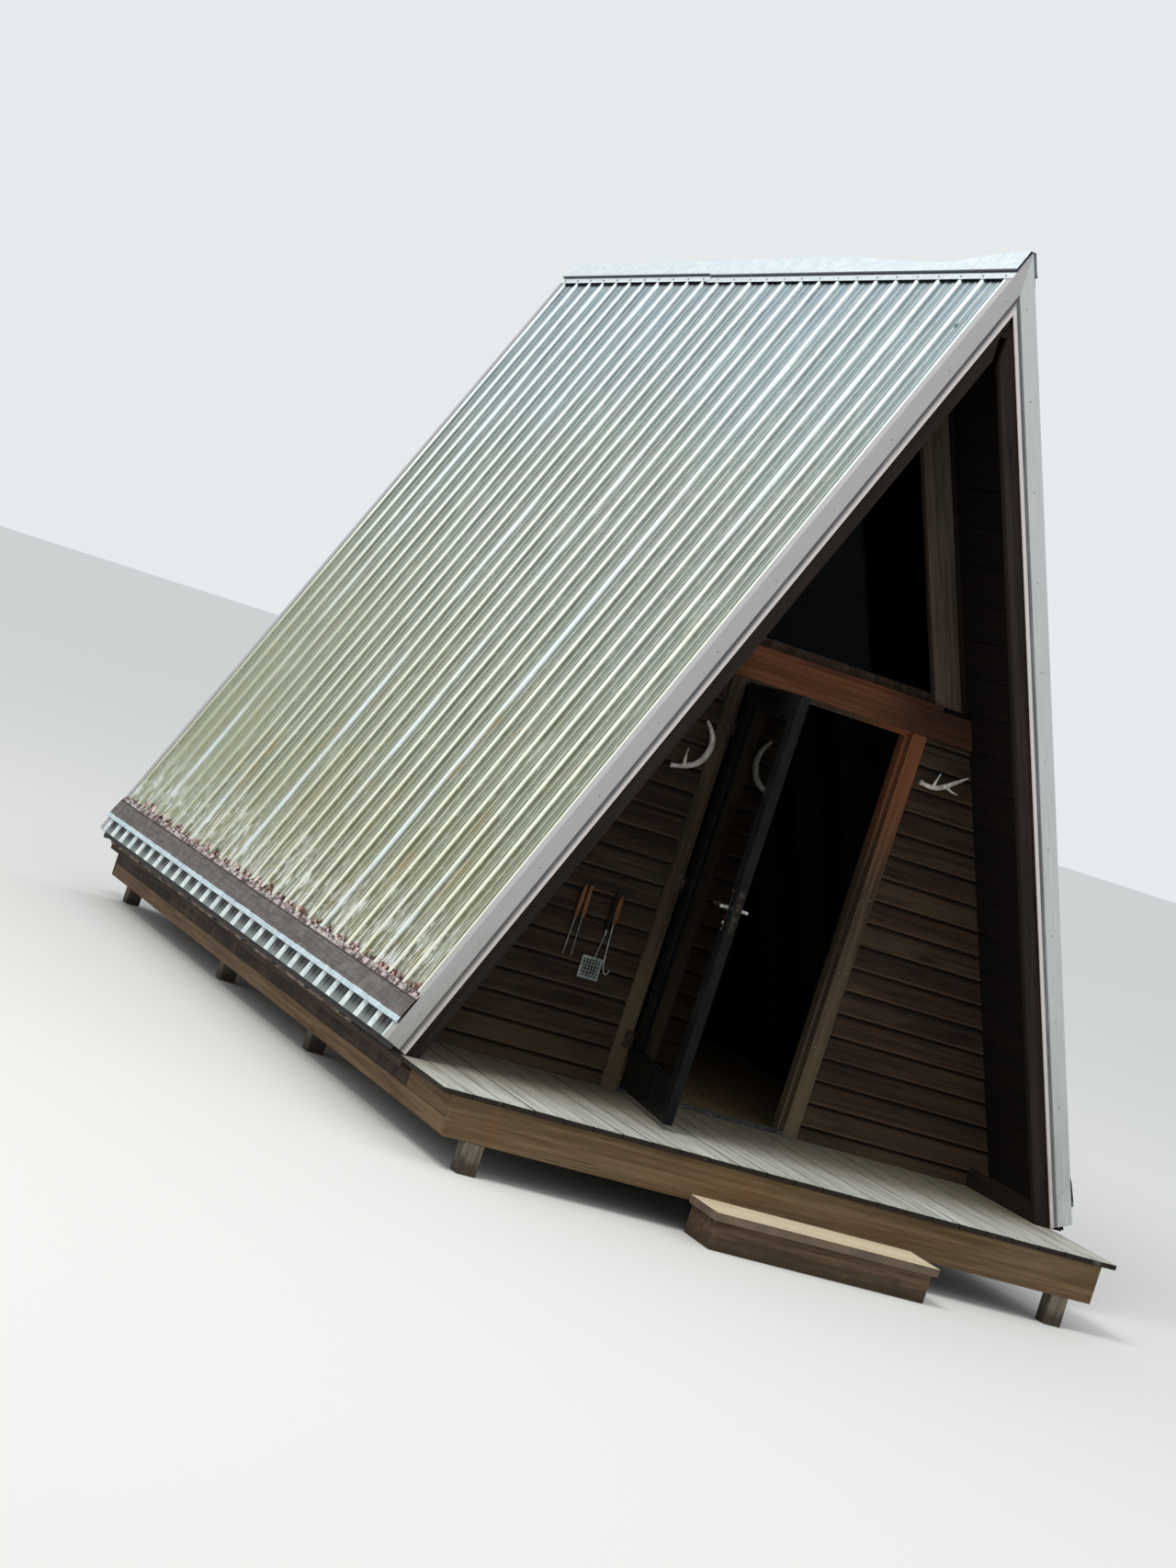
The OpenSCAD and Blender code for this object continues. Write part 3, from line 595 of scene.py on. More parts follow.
bm = bmesh.new()
corner_xs = (box_low.x + nail_in, box_high.x - nail_in)
heads(bm, [(x, box_low.y, z) for x in corner_xs for z in (0.03, 0.066, 0.1)], (0, -1, 0))
tread_nail_in = 0.04
tread_xs = (tread_low.x + tread_nail_in, -0.1, 0.31, tread_high.x - tread_nail_in)
heads(bm, [(x, tread_low.y + tread_nail_in, tread_high.z - 0.001) for x in tread_xs], (0, 0, 1))
fix("step_nails", bm, rusty.material, "hardware")


# Rafters, ridge board and plates
# Sawn planks with a dark brown stain. The rafters are cut plumb at the ridge board and level on the
# deck, and the plates lie on the deck between the two front pairs.
half_width, ridge_up, eave_up, roof_length = 1.835, 4.30, 0.048, 6.1
lean = math.atan2(half_width, ridge_up)
ridge_z = deck_high.z + ridge_up
eave_down = (ridge_up - eave_up) / math.cos(lean)
ON_SLOPE = (0, math.pi / 2 + lean, 0)


def porch_dust(wood, colour):
    """Faded by the weather near the front edge of the roof, and dark further in."""
    along = wood.split(wood.place)[1]
    inside = wood.level(along, rake_y + 0.03, rake_y + 0.16)
    faded = wood.mix(wood.cloud(wood.place, 14, 5), tint(34, 27, 23), tint(60, 48, 40))
    return wood.mix(inside, wood.mix(0.25, colour, faded), colour)


rafter_wood = timber("rafter_wood", ON_SLOPE, tint(46, 34, 27), tint(22, 17, 14), tint(44, 37, 31),
                     stain=porch_dust, mirrored=True)
plank_wood = timber("plank_wood", ALONG_Y, tint(44, 35, 29), tint(22, 17, 14), tint(42, 36, 31))
for node in ("rafters_left", "rafters_right"):
    eased(node + "_planks", node, rafter_wood, "frame_wood", cuts=(UP, deck_high.z, ridge_z, 0.5))
eased("ridge_plank", "ridge_board", plank_wood, "frame_wood")
eased("porch_plate_planks", "porch_plates", plank_wood, "frame_wood")


# Foot boards
# Short boards on edge between the rafters' feet, inside the cabin. They stand on the floor and close
# the gap under the roof boards.
boards_top, boards_under = -0.0191, -0.0471
foot_x = deck_high.x - 0.0005
foot_top = ridge_z - (foot_x - boards_under / math.cos(lean)) / math.tan(lean) - 0.0005
wall_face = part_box("front_wall_left")[1].y
rafter_ys = sorted({round(v.co.y, 4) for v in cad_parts["rafters_right"].data.vertices})
bm = bmesh.new()
for before, after in zip(rafter_ys[1::2], rafter_ys[2::2]):
    if before > wall_face - 0.05:
        for near, far in ((-foot_x, -foot_x + board_t), (foot_x - board_t, foot_x)):
            cut_board(bm, (near, before + 0.0005, deck_high.z), (far, after - 0.0005, foot_top))
ease_edges(bm, 0.002)
fix("foot_boards", bm, plank_wood, "frame_wood")


# Roof boards
# Rough boards nailed across the rafters, under the metal. They show from the porch, nearly black with
# a dark stain and painted shade, with thin gaps between them.
board_count, board_gap = 25, 0.003


def on_slope(bm, side, verts=None):
    """Puts what is drawn as (down the slope, along the ridge, out of the roof) on one of its slopes."""
    verts = verts or bm.verts[:]
    frame_of_slope = Matrix(((math.sin(lean), 0, math.cos(lean), 0),
                             (0, 1, 0, 0),
                             (-math.cos(lean), 0, math.sin(lean), ridge_z),
                             (0, 0, 0, 1)))
    bmesh.ops.transform(bm, matrix=frame_of_slope, verts=verts)
    if side < 0:
        bmesh.ops.scale(bm, vec=(-1, 1, 1), verts=verts)
        bmesh.ops.reverse_faces(bm, faces=list(dict.fromkeys(f for v in verts for f in v.link_faces)))


def saw(bm, point, normal):
    """Saws off all that lies beyond a plane, and leaves the cut closed."""
    cut = bmesh.ops.bisect_plane(bm, geom=bm.verts[:] + bm.edges[:] + bm.faces[:], plane_co=point,
                                 plane_no=normal, clear_outer=True)["geom_cut"]
    edges = [g for g in cut if isinstance(g, bmesh.types.BMEdge)]
    bmesh.ops.holes_fill(bm, edges=edges, sides=0)


# Nearly black: a dark stain, darkened further as painted shade under the porch roof
roof_wood = timber("roof_wood", ALONG_Y, tint(29, 22, 19), tint(14, 11, 9), tint(36, 29, 24))
sheathing_low, sheathing_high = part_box("sheathing_left")
board_w = eave_down / board_count
for side, name, node in ((-1, "roof_boards_left", "sheathing_left"),
                         (1, "roof_boards_right", "sheathing_right")):
    bm = bmesh.new()
    for number in range(board_count):
        joint = sheathing_low.y + chance.choice((0.3, 0.42, 0.54, 0.68)) * roof_length
        gap = board_gap if number < board_count - 1 else 0
        for start, end in ((sheathing_low.y, joint - 0.001), (joint + 0.001, sheathing_high.y)):
            cut_board(bm, (number * board_w, start, boards_under),
                      ((number + 1) * board_w - gap, end, boards_top))
    on_slope(bm, side)
    saw(bm, (side * 0.0002, 0, 0), (-side, 0, 0))
    ease_edges(bm, 0.0015, 1)
    fix(name, bm, roof_wood, "frame_wood", node)


# Roof sheets
# Ribbed galvanised steel, laid over the boards from the ridge down, in sheets of four ribs that lap
# over one another and are held by screws beside the ribs. Clean near the ridge, where it is painted
# bluish as a sky reflection, it turns green and yellow with algae towards the eaves. The crests carry a
# painted highlight, and painted shadows lie along the ribs and under the cap and the eave strips.
sheet_low, sheet_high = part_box("roof_sheet_right")
sheet_run = sheet_high.y - sheet_low.y
sheet_top = 0.062
rib_pitch, rib_foot, rib_crest, rib_height = 0.2286, 0.046, 0.016, 0.019
small_rib_foot, small_rib_height = 0.022, 0.004
tin = 0.0007
rib_count = int((sheet_run - rib_foot) // rib_pitch)
first_rib = sheet_low.y + (sheet_run - rib_count * rib_pitch) / 2
ribs_a_sheet, first_lap = 4, 3
strip_low_edge = eave_down - 0.085
strip_top_edge = strip_low_edge - 0.165


def drawn_strip(bm, corners, start, reach, steps):
    """Sheet metal folded along the corners of an outline and drawn out along a length."""
    verts = [bm.verts.new(start + Vector(c)) for c in corners]
    edges = [bm.edges.new(pair) for pair in zip(verts, verts[1:])]
    for _ in range(steps):
        drawn = bmesh.ops.extrude_edge_only(bm, edges=edges)["geom"]
        row = [g for g in drawn if isinstance(g, bmesh.types.BMVert)]
        edges = [g for g in drawn if isinstance(g, bmesh.types.BMEdge)]
        edges = [edge for edge in edges if all(v in row for v in edge.verts)]
        bmesh.ops.translate(bm, vec=Vector(reach) / steps, verts=row)


def rib_corners(middle, foot, crest, height, base):
    """The outline of one rib, from foot to foot."""
    return [(0, middle - foot / 2, base), (0, middle - crest / 2, base + height),
            (0, middle + crest / 2, base + height), (0, middle + foot / 2, base)]


def lay_sheet(bm, number):
    """One sheet, from its first rib to the rib that the next sheet laps over."""
    first = max(first_lap + (number - 1) * ribs_a_sheet, 0)
    last = min(first_lap + number * ribs_a_sheet, rib_count)
    base = -rib_height + tin * 0.5
    corners = [(0, sheet_low.y, base)] if number == 0 else []
    for rib in range(first, last + 1):
        under = tin * 1.6 if rib == last and last < rib_count else 0
        middle = first_rib + rib * rib_pitch
        corners += rib_corners(middle, rib_foot, rib_crest, rib_height - tin - under, base)
        if rib < last:
            for part in (1, 2):
                corners += rib_corners(middle + rib_pitch * part / 3, small_rib_foot,
                                       small_rib_foot / 2, small_rib_height, base)
    if last == rib_count:
        corners.append((0, sheet_high.y, base))
    short = chance.uniform(-0.002, 0)
    drawn_strip(bm, corners, Vector((sheet_top, 0, 0)), (eave_down + short - sheet_top, 0, 0), 16)


def roof_sheets(side, name, node):
    """All the sheets of one slope, a little uneven, with their thickness and their rounded folds."""
    bm = bmesh.new()
    for number in range(math.ceil((rib_count - first_lap) / ribs_a_sheet) + 1):
        lay_sheet(bm, number)
    for vert in bm.verts:
        swell = noise.noise(Vector((vert.co.x * 1.3, vert.co.y * 4, side * 7)))
        vert.co.z += swell * 0.0003 + 0.0002
    bmesh.ops.recalc_face_normals(bm, faces=bm.faces)
    if sum(f.normal.z for f in bm.faces) < 0:
        bmesh.ops.reverse_faces(bm, faces=bm.faces)
    on_slope(bm, side)
    sheets = fix(name, bm, roof_metal, "roofing", node)
    thickness = sheets.modifiers.new("thickness", "SOLIDIFY")
    thickness.thickness = tin
    thickness.offset = 1
    rounding = sheets.modifiers.new("folds", "BEVEL")
    rounding.width = 0.0022
    rounding.segments = 2
    rounding.limit_method = "ANGLE"
    rounding.angle_limit = math.radians(12)


def down_the_slope(metal):
    """How far down from the ridge a place on either slope is."""
    across, _, height = metal.split(metal.place)
    level = metal.times(metal.calc("ABSOLUTE", across), math.sin(lean))
    plumb = metal.times(metal.less(ridge_z, height), math.cos(lean))
    return metal.plus(level, plumb)


def out_of_slope(metal):
    """How far out of the plane of the ribs' crests a place is."""
    across, _, height = metal.split(metal.place)
    level = metal.times(metal.calc("ABSOLUTE", across), math.cos(lean))
    plumb = metal.times(metal.less(height, ridge_z), math.sin(lean))
    return metal.plus(level, plumb)


def run_of_slope(metal):
    """Down the slope, along it and out of it, for patterns that run down the roof."""
    side = metal.times(metal.calc("SIGN", metal.split(metal.place)[0]), 3.0)
    out = metal.plus(out_of_slope(metal), side)
    return metal.join(down_the_slope(metal), metal.split(metal.place)[1], out)


def from_middle(metal, place, start, pitch):
    """Distance from the nearest of a row of lines, from the first line and the pitch."""
    count = metal.calc("DIVIDE", metal.less(place, start), pitch)
    part = metal.calc("FRACT", metal.plus(count, 0.5))
    return metal.times(metal.calc("ABSOLUTE", metal.less(part, 0.5)), pitch)


def pan_colour(metal):
    """From a painted bluish sky reflection near the ridge to olive algae, with moss in streaks, a few
    brown stains and patches worn bare.
    """
    # Painted bluish sky reflection near the ridge, turning to olive algae lower down
    pan = metal.coat(tint(138, 157, 167), tint(126, 138, 127), metal.age, 0.7, 2.4)
    pan = metal.coat(pan, tint(126, 127, 94), metal.age, 2.6, 5.2)
    moss = metal.coat(tint(120, 134, 132), tint(100, 102, 66), metal.age, 1.5, 4.5)
    pan = metal.coat(pan, moss, metal.streaks, 0.46, 0.68, 0.6)
    pan = metal.coat(pan, tint(188, 198, 186), metal.grains, 0.52, 0.70, 0.6)
    pan = metal.coat(pan, tint(92, 98, 86), metal.grains, 0.46, 0.30, 0.5)
    patches = metal.cloud(metal.plane, detail=6, roughness=0.65, stretch=(1.5, 6, 1))
    stained = metal.times(metal.level(patches, 0.54, 0.68), metal.level(metal.age, 2.0, 4.6, 0, 0.85))
    pan = metal.mix(stained, pan, tint(158, 134, 86))
    bare = metal.cloud(metal.plane, detail=5, roughness=0.65, stretch=(2.4, 14, 3))
    return metal.coat(pan, tint(186, 196, 188), bare, 0.55, 0.7, 0.6)


def crest_colour(metal, pan, moss_and_flat_shading):
    """Nearly white, clean metal with a painted highlight, but out of sight in moss at the lower rear
    corner, where it is also painted flat.
    """
    # Painted highlight on the crests: bluish white near the ridge, creamier lower down
    crest = metal.coat(tint(236, 246, 252), tint(242, 246, 232), metal.age, 0.9, 3.0)
    crest = metal.coat(crest, tint(234, 236, 214), metal.age, 3.0, 5.4)
    crest = metal.coat(crest, pan, metal.grains, 0.5, 0.8, 0.45)
    return metal.mix(moss_and_flat_shading, crest, tint(176, 180, 152))


def painted_rib_shadows(metal, colour, crest, moss_and_flat_shading):
    """Painted shadows along the feet of the high ribs and beside the small ones between them, and a
    painted highlight on the small ribs.
    """
    foot = metal.coat(tint(86, 98, 104), tint(78, 80, 52), metal.age, 0.8, 4.0)
    broken = metal.cloud(metal.plane, detail=5, stretch=(3, 9, 3))
    broken = metal.level(broken, 0.36, 0.62, 0.25, 1)
    # Painted shadow along the feet of the high ribs, broken up by noise
    foot_shadow = metal.band(metal.rib, 0.015, 0.020, 0.028, 0.038)
    foot_shadow = metal.times(foot_shadow, metal.level(moss_and_flat_shading, 0, 1, 0.85, 0.2))
    colour = metal.mix(metal.times(foot_shadow, broken), colour, foot)
    first = from_middle(metal, metal.along, first_rib + rib_pitch / 3, rib_pitch)
    second = from_middle(metal, metal.along, first_rib + rib_pitch * 2 / 3, rib_pitch)
    small = metal.calc("MINIMUM", first, second)
    # Painted highlight on the small ribs, and painted shadow beside them
    colour = metal.coat(colour, crest, small, 0.008, 0.004, 0.4)
    beside = metal.times(metal.band(small, 0.006, 0.010, 0.013, 0.018), broken)
    return metal.mix(metal.times(beside, 0.5), colour, foot)


def rain_marks(metal, colour):
    """Scrubbed pale along the laps, where water runs, and scuffed above the eave strips."""
    lap = from_middle(metal, metal.along, first_rib + rib_pitch * first_lap, rib_pitch * ribs_a_sheet)
    scrub = metal.cloud(metal.plane, detail=3, stretch=(1.1, 0.8, 1))
    scrub = metal.level(scrub, 0.42, 0.62, 0.05, 1)
    washed = metal.times(metal.level(lap, 0.026, 0.014, 0, 0.7), scrub)
    colour = metal.mix(washed, colour, tint(222, 236, 244))
    scuffs = metal.cloud(metal.plane, detail=6, roughness=0.7, stretch=(8, 40, 4))
    scuffs = metal.times(metal.level(scuffs, 0.48, 0.62, 0, 0.9),
                         metal.level(metal.down, strip_top_edge - 0.55, strip_top_edge - 0.08))
    return metal.mix(scuffs, colour, tint(222, 226, 224))


def dirt_spots(metal, colour):
    """Small dark spots, most of them at the top in front."""
    dots = metal.stretched(metal.plane, (9, 9, 9))
    chosen = metal.split(metal.spots(dots, wanted="Color"))[0]
    spot = metal.times(metal.level(metal.spots(dots), 0.16, 0.09), metal.level(chosen, 0.80, 0.82))
    thick_there = metal.times(metal.level(metal.along, -0.6, -1.4), metal.level(metal.down, 1.1, 0.5))
    spot = metal.times(spot, metal.level(thick_there, 0, 1, 0.12, 0.9))
    return metal.mix(spot, colour, tint(52, 58, 62))


def painted_cap_and_strip_shadows(metal, colour):
    """Painted shadow and dirt in the pans under the cap's lip and under the strips, and pale ribs at
    the eave.
    """
    # Painted shadow and dirt in the pans just under the cap's lip
    cap_lip_shadow = metal.times(metal.level(metal.down, 0.166, 0.152), metal.level(metal.rib, 0.010, 0.015))
    colour = metal.mix(cap_lip_shadow, colour, tint(34, 38, 44))
    # Painted shadow under the strips' lip: black at the lip, fading towards the eave and broken by
    # streaks
    damp = metal.level(metal.down, strip_low_edge + 0.022, strip_low_edge + 0.078)
    damp = metal.plus(damp, metal.times(metal.less(metal.streaks, 0.5), 0.5))
    shaded_eave_pan = metal.mix(damp, tint(14, 17, 17), tint(122, 132, 126))
    eave_rib = metal.coat(tint(206, 220, 224), tint(236, 242, 238), metal.grains, 0.4, 0.7)
    eave = metal.coat(shaded_eave_pan, eave_rib, metal.rib, 0.024, 0.018)
    below = metal.level(metal.down, strip_low_edge - 0.002, strip_low_edge + 0.002)
    return metal.mix(below, colour, eave)


def make_roof_metal():
    """Galvanised steel with its weathering and its painted light and shade, laid out by how far down
    and along the slope a place is.
    """
    metal = Finish("roof_metal", roughness=0.42, metallic=0.3)
    metal.down = down_the_slope(metal)
    metal.along = metal.split(metal.place)[1]
    metal.plane = run_of_slope(metal)
    metal.rib = from_middle(metal, metal.along, first_rib, rib_pitch)
    metal.streaks = metal.cloud(metal.plane, detail=6, roughness=0.65, stretch=(0.8, 26, 1))
    metal.grains = metal.cloud(metal.plane, detail=4, roughness=0.7, stretch=(22, 55, 22))
    drift = metal.cloud(metal.plane, detail=3, stretch=(0.5, 0.9, 0.3))
    metal.age = metal.plus(metal.down, metal.times(drift, 1.4))
    # Moss at the lower rear corner; where it lies, the colour also paints out the ribs' light and shade
    moss_and_flat_shading = metal.times(metal.level(metal.along, -1.0, 3.4), metal.level(metal.age, 2.4, 4.8))
    moss_and_flat_shading = metal.times(moss_and_flat_shading, metal.level(drift, 0.3, 0.62, 0.45, 0.95))
    pan = pan_colour(metal)
    crest = crest_colour(metal, pan, moss_and_flat_shading)
    # The crests' clean metal with its painted highlight, over the pans
    colour = metal.coat(pan, crest, metal.rib, 0.0172, 0.0112)
    colour = painted_rib_shadows(metal, colour, crest, moss_and_flat_shading)
    # Moss, in one pale tone that also paints out the ribs' light and shade in that corner
    colour = metal.mix(metal.times(moss_and_flat_shading, 0.5), colour, tint(170, 176, 152))
    colour = rain_marks(metal, colour)
    colour = dirt_spots(metal, colour)
    colour = painted_cap_and_strip_shadows(metal, colour)
    dull = metal.level(metal.grains, 0.3, 0.8, 0.36, 0.6)
    return metal.show(colour, dull, metal.times(metal.grains, 0.6), 0.0006)


roof_metal = make_roof_metal()
roof_sheets(-1, "roof_sheets_left", "roof_sheet_left")
roof_sheets(1, "roof_sheets_right", "roof_sheet_right")


# Roof screws
# Hexagonal heads on washers, in rows across the sheets, each beside a rib.
screw_steel = Finish("screw_steel", roughness=0.5, metallic=0.8)
wear = screw_steel.cloud(screw_steel.place, 120, 3)
screw_steel.show(screw_steel.coat(tint(92, 96, 96), tint(150, 152, 148), wear, 0.4, 0.6))
screw_rows = [0.24 + i * 0.61 for i in range(8)]
beside_rib, pan_top = 0.034, -0.0172


def on_both_slopes(bm, draw):
    """Draws the same things twice, and puts one lot on each slope."""
    for side in (-1, 1):
        first = len(bm.verts)
        draw(bm)
        bm.verts.ensure_lookup_table()
        on_slope(bm, side, bm.verts[first:])


def hex_screw(bm, place, washer, head, up):
    """A hexagonal head over a round washer, each given by its radius and how proud it stands."""
    heads(bm, [place], UP, *washer)
    heads(bm, [place + Vector((0, 0, up))], UP, *head, sides=6)


def sheet_screws(bm):
    for row in screw_rows:
        for rib in range(rib_count + 1):
            beside = first_rib + rib * rib_pitch + beside_rib * (-1 if rib == rib_count else 1)
            place = Vector((row + chance.uniform(-0.012, 0.012), beside, pan_top))
            hex_screw(bm, place, (0.0075, 0.0015), (0.0048, 0.0025), 0.003)


bm = bmesh.new()
on_both_slopes(bm, sheet_screws)
fix("roof_screws", bm, screw_steel.material, "hardware")


# Ridge cap
# Two lengths of folded steel over the ridge, the front one lapped over the rear. Below its step the
# cap lies on the ribs, screwed to each, with the pans open under it. Its crown is dented in front.
cap_lap_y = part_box("ridge_cap_front")[1].y
cap_lower = 0.010


def make_cap_metal():
    """Bright steel with a two-way grain and faint runs, with painted shade on its underside and a
    painted shadow along the foot of the step.
    """
    metal = Finish("cap_metal", roughness=0.36, metallic=0.35)
    plane = run_of_slope(metal)
    grains = metal.cloud(plane, detail=5, roughness=0.7, stretch=(40, 14, 40))
    runs = metal.cloud(plane, detail=5, stretch=(2, 18, 2))
    colour = metal.coat(tint(214, 226, 232), tint(234, 243, 247), grains, 0.35, 0.7)
    colour = metal.coat(colour, tint(182, 198, 200), runs, 0.52, 0.75, 0.35)
    # Painted shade on the faces that look down
    colour = metal.coat(colour, tint(40, 46, 50), metal.faces()[2], -0.55, -0.8)
    # Painted shadow lies along the foot of the step
    in_front = metal.calc("LESS_THAN", metal.split(metal.place)[1], cap_lap_y)
    down = metal.less(down_the_slope(metal), metal.times(in_front, cap_lower))
    dirt = metal.band(down, 0.0945, 0.0965, 0.1075, 0.1105)
    colour = metal.mix(metal.times(dirt, 0.92), colour, tint(36, 44, 50))
    dull = metal.level(grains, 0.3, 0.8, 0.3, 0.5)
    return metal.show(colour, dull, grains, 0.0005)


cap_metal = make_cap_metal()
dent_y, dent_depth, crown_half, step_down = -1.75, 0.042, 0.03, 0.09
for name, node in (("front_cap", "ridge_cap_front"), ("rear_cap", "ridge_cap_rear")):
    low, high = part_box(node)
    bm = cut_out(node)
    slice_up(bm, AWAY, low.y, high.y, 0.15)
    for vert in bm.verts:
        if abs(vert.co.x) < crown_half:
            past_dent = (vert.co.y - dent_y) / (0.8 if vert.co.y > dent_y else 0.45)
            vert.co.z -= dent_depth * math.exp(-past_dent ** 2)
        elif node == "ridge_cap_front":
            down = abs(vert.co.x) * math.sin(lean) + (ridge_z - vert.co.z) * math.cos(lean)
            if down > step_down:
                vert.co.x += math.copysign(cap_lower, vert.co.x) * math.sin(lean)
                vert.co.z -= cap_lower * math.cos(lean)
    ease_edges(bm, 0.0004, 1)
    fix(name, bm, cap_metal, "roofing", node)

cap_screw_down, cap_screw_up = 0.128, 0.0045


def cap_screws(bm):
    for rib in range(rib_count + 1):
        along = first_rib + rib * rib_pitch
        place = Vector((cap_screw_down + cap_lower * (along < cap_lap_y), along, cap_screw_up))
        hex_screw(bm, place, (0.0065, 0.0012), (0.0042, 0.002), 0.0025)


bm = bmesh.new()
on_both_slopes(bm, cap_screws)
fix("cap_screws", bm, screw_steel.material, "hardware")


# Rake trims
# Folded steel angles over the ends of the roof, with a groove and a turned-in hem on their faces.
# The paint is chalky and lilac-grey, with fine scratches down it, painted shade in the groove and
# painted shade on the trims of the left slope.
def make_trim_metal():
    """Chalky paint, with painted shade on the left slope and in the groove, pale on the hem, dirty low
    down.
    """
    metal = Finish("trim_metal", roughness=0.5, metallic=0.15)
    plane = run_of_slope(metal)
    out = out_of_slope(metal)
    scratches = metal.cloud(plane, detail=5, roughness=0.75, stretch=(4, 30, 300))
    blots = metal.cloud(plane, detail=5, roughness=0.7, stretch=(3, 12, 14))
    colour = metal.coat(tint(178, 182, 182), tint(200, 203, 203), scratches, 0.34, 0.66)
    colour = metal.coat(colour, tint(186, 194, 184), blots, 0.5, 0.76, 0.5)
    across = metal.split(metal.place)[0]
    # Painted shade on the trims of the left slope
    colour = metal.coat(colour, tint(158, 150, 152), across, 0.004, -0.004, 0.55)
    colour = metal.coat(colour, tint(214, 202, 198), out, -0.1005, -0.1035)
    # Painted shade in the groove, patchy where the blots are
    groove_shade = metal.band(out, -0.0985, -0.0955, -0.0800, -0.0745)
    groove_shade = metal.times(groove_shade, metal.level(blots, 0.2, 0.6, 0.6, 0.95))
    colour = metal.mix(groove_shade, colour, tint(98, 96, 100))
    low_down = metal.level(down_the_slope(metal), eave_down - 1.3, eave_down + 0.2, 0, 0.45)
    dirt = metal.times(low_down, metal.level(blots, 0.34, 0.6))
    colour = metal.mix(dirt, colour, tint(146, 144, 130))
    dull = metal.level(scratches, 0.3, 0.7, 0.42, 0.6)
    return metal.show(colour, dull, scratches, 0.0003)


trim_metal = make_trim_metal()
nails = bmesh.new()
for name, node, out in (("front_rake_trims", "rake_trims_front", -1),
                        ("rear_rake_trims", "rake_trims_rear", 1)):
    low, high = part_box(node)
    bm = cut_out(node)
    slice_up(bm, UP, low.z, high.z, 0.4)
    face_y = low.y if out < 0 else high.y
    for vert in bm.verts:
        if abs(vert.co.y - face_y) < 0.03:
            vert.co.y -= out * abs(noise.noise(Vector((vert.co.x, 3.1 * out, vert.co.z)))) * 0.0008
    ease_edges(bm, 0.0004, 1)
    fix(name, bm, trim_metal, "trim_metal", node)
    # The rear trims are nailed through their grooves, so that no head stands out behind the roof
    deep, up = (0.0, -0.045) if out < 0 else (0.0095, -0.0865)
    places = [(0.25 + i * 0.42, face_y - out * deep, up) for i in range(11)]
    on_both_slopes(nails, lambda bm: heads(bm, places, (0, out, 0), radius=0.0042, proud=0.0012))
fix("trim_nails", nails, screw_steel.material, "hardware")


# Eave strips
# Folded strips across the ribs just above the eaves, where leaves lodge. The flange is whitish, the
# middle brown with dirt and painted shade, and the lip bare and bluish with a painted highlight. A
# painted shadow lies in the crease under the flange.
def make_strip_metal():
    """Three bands across the strip: flange, middle with dirt and painted shade, and lip with a painted
    highlight, with a painted shadow in the crease under the flange.
    """
    metal = Finish("strip_metal", roughness=0.5, metallic=0.2)
    down = down_the_slope(metal)
    plane = run_of_slope(metal)
    blots = metal.cloud(plane, detail=6, roughness=0.7, stretch=(26, 14, 26))
    grains = metal.cloud(plane, detail=4, roughness=0.7, stretch=(90, 60, 90))
    flange = metal.coat(tint(72, 54, 50), tint(208, 194, 192), blots, 0.43, 0.60)
    lines = metal.cloud(plane, detail=4, roughness=0.6, stretch=(120, 3, 60))
    # Middle band: dirt, with painted shade
    middle = metal.coat(tint(94, 86, 82), tint(120, 114, 110), blots, 0.38, 0.68)
    middle = metal.coat(middle, tint(56, 48, 44), lines, 0.45, 0.7, 0.6)
    middle = metal.coat(middle, tint(128, 122, 122), grains, 0.55, 0.75, 0.35)
    # Lip: bare metal with a painted highlight
    lip = metal.coat(tint(176, 196, 204), tint(206, 222, 228), blots, 0.36, 0.66)
    edge = metal.plus(down, metal.times(metal.less(blots, 0.5), 0.012))
    first_edge, second_edge = strip_top_edge + 0.034, strip_low_edge - 0.027
    colour = metal.coat(flange, middle, edge, first_edge - 0.003, first_edge + 0.003)
    # Painted shadow in the crease under the flange
    crease = metal.band(edge, first_edge - 0.004, first_edge, first_edge + 0.006, first_edge + 0.012)
    colour = metal.mix(metal.times(crease, 0.8), colour, tint(34, 28, 28))
    colour = metal.coat(colour, lip, edge, second_edge - 0.002, second_edge + 0.002)
    dull = metal.level(edge, second_edge - 0.002, second_edge + 0.002, 0.75, 0.4)
    return metal.show(colour, dull, grains, 0.0008)


strip_low, strip_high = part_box("eave_strips")
bm = cut_out("eave_strips")
slice_up(bm, AWAY, strip_low.y, strip_high.y, 0.3)
for vert in bm.verts:
    vert.co.z += noise.noise(Vector((vert.co.x, vert.co.y * 1.3, 2.2))) * 0.0008
ease_edges(bm, 0.0005, 1)
fix("eave_strip_metal", bm, make_strip_metal(), "trim_metal", "eave_strips")


# Leaf dirt
# Rotten leaves and crumbs, thin and curled, lodged in the pans above the strips.
def make_leaf_rot():
    """Each leaf has its own colour, from dark red through tan to nearly white."""
    rot = Finish("leaf_rot", roughness=0.9)
    own = rot.mark("board")
    colour = rot.coat(tint(46, 26, 28), tint(120, 72, 62), own, 0.05, 0.35)
    colour = rot.coat(colour, tint(184, 150, 140), own, 0.35, 0.6)
    colour = rot.coat(colour, tint(232, 214, 212), own, 0.6, 1.0)
    veins = rot.cloud(rot.place, 220, 4)
    colour = rot.coat(colour, tint(60, 44, 36), veins, 0.5, 0.7, 0.4)
    return rot.show(colour, None, veins, 0.001)


leaves_a_pan = 16


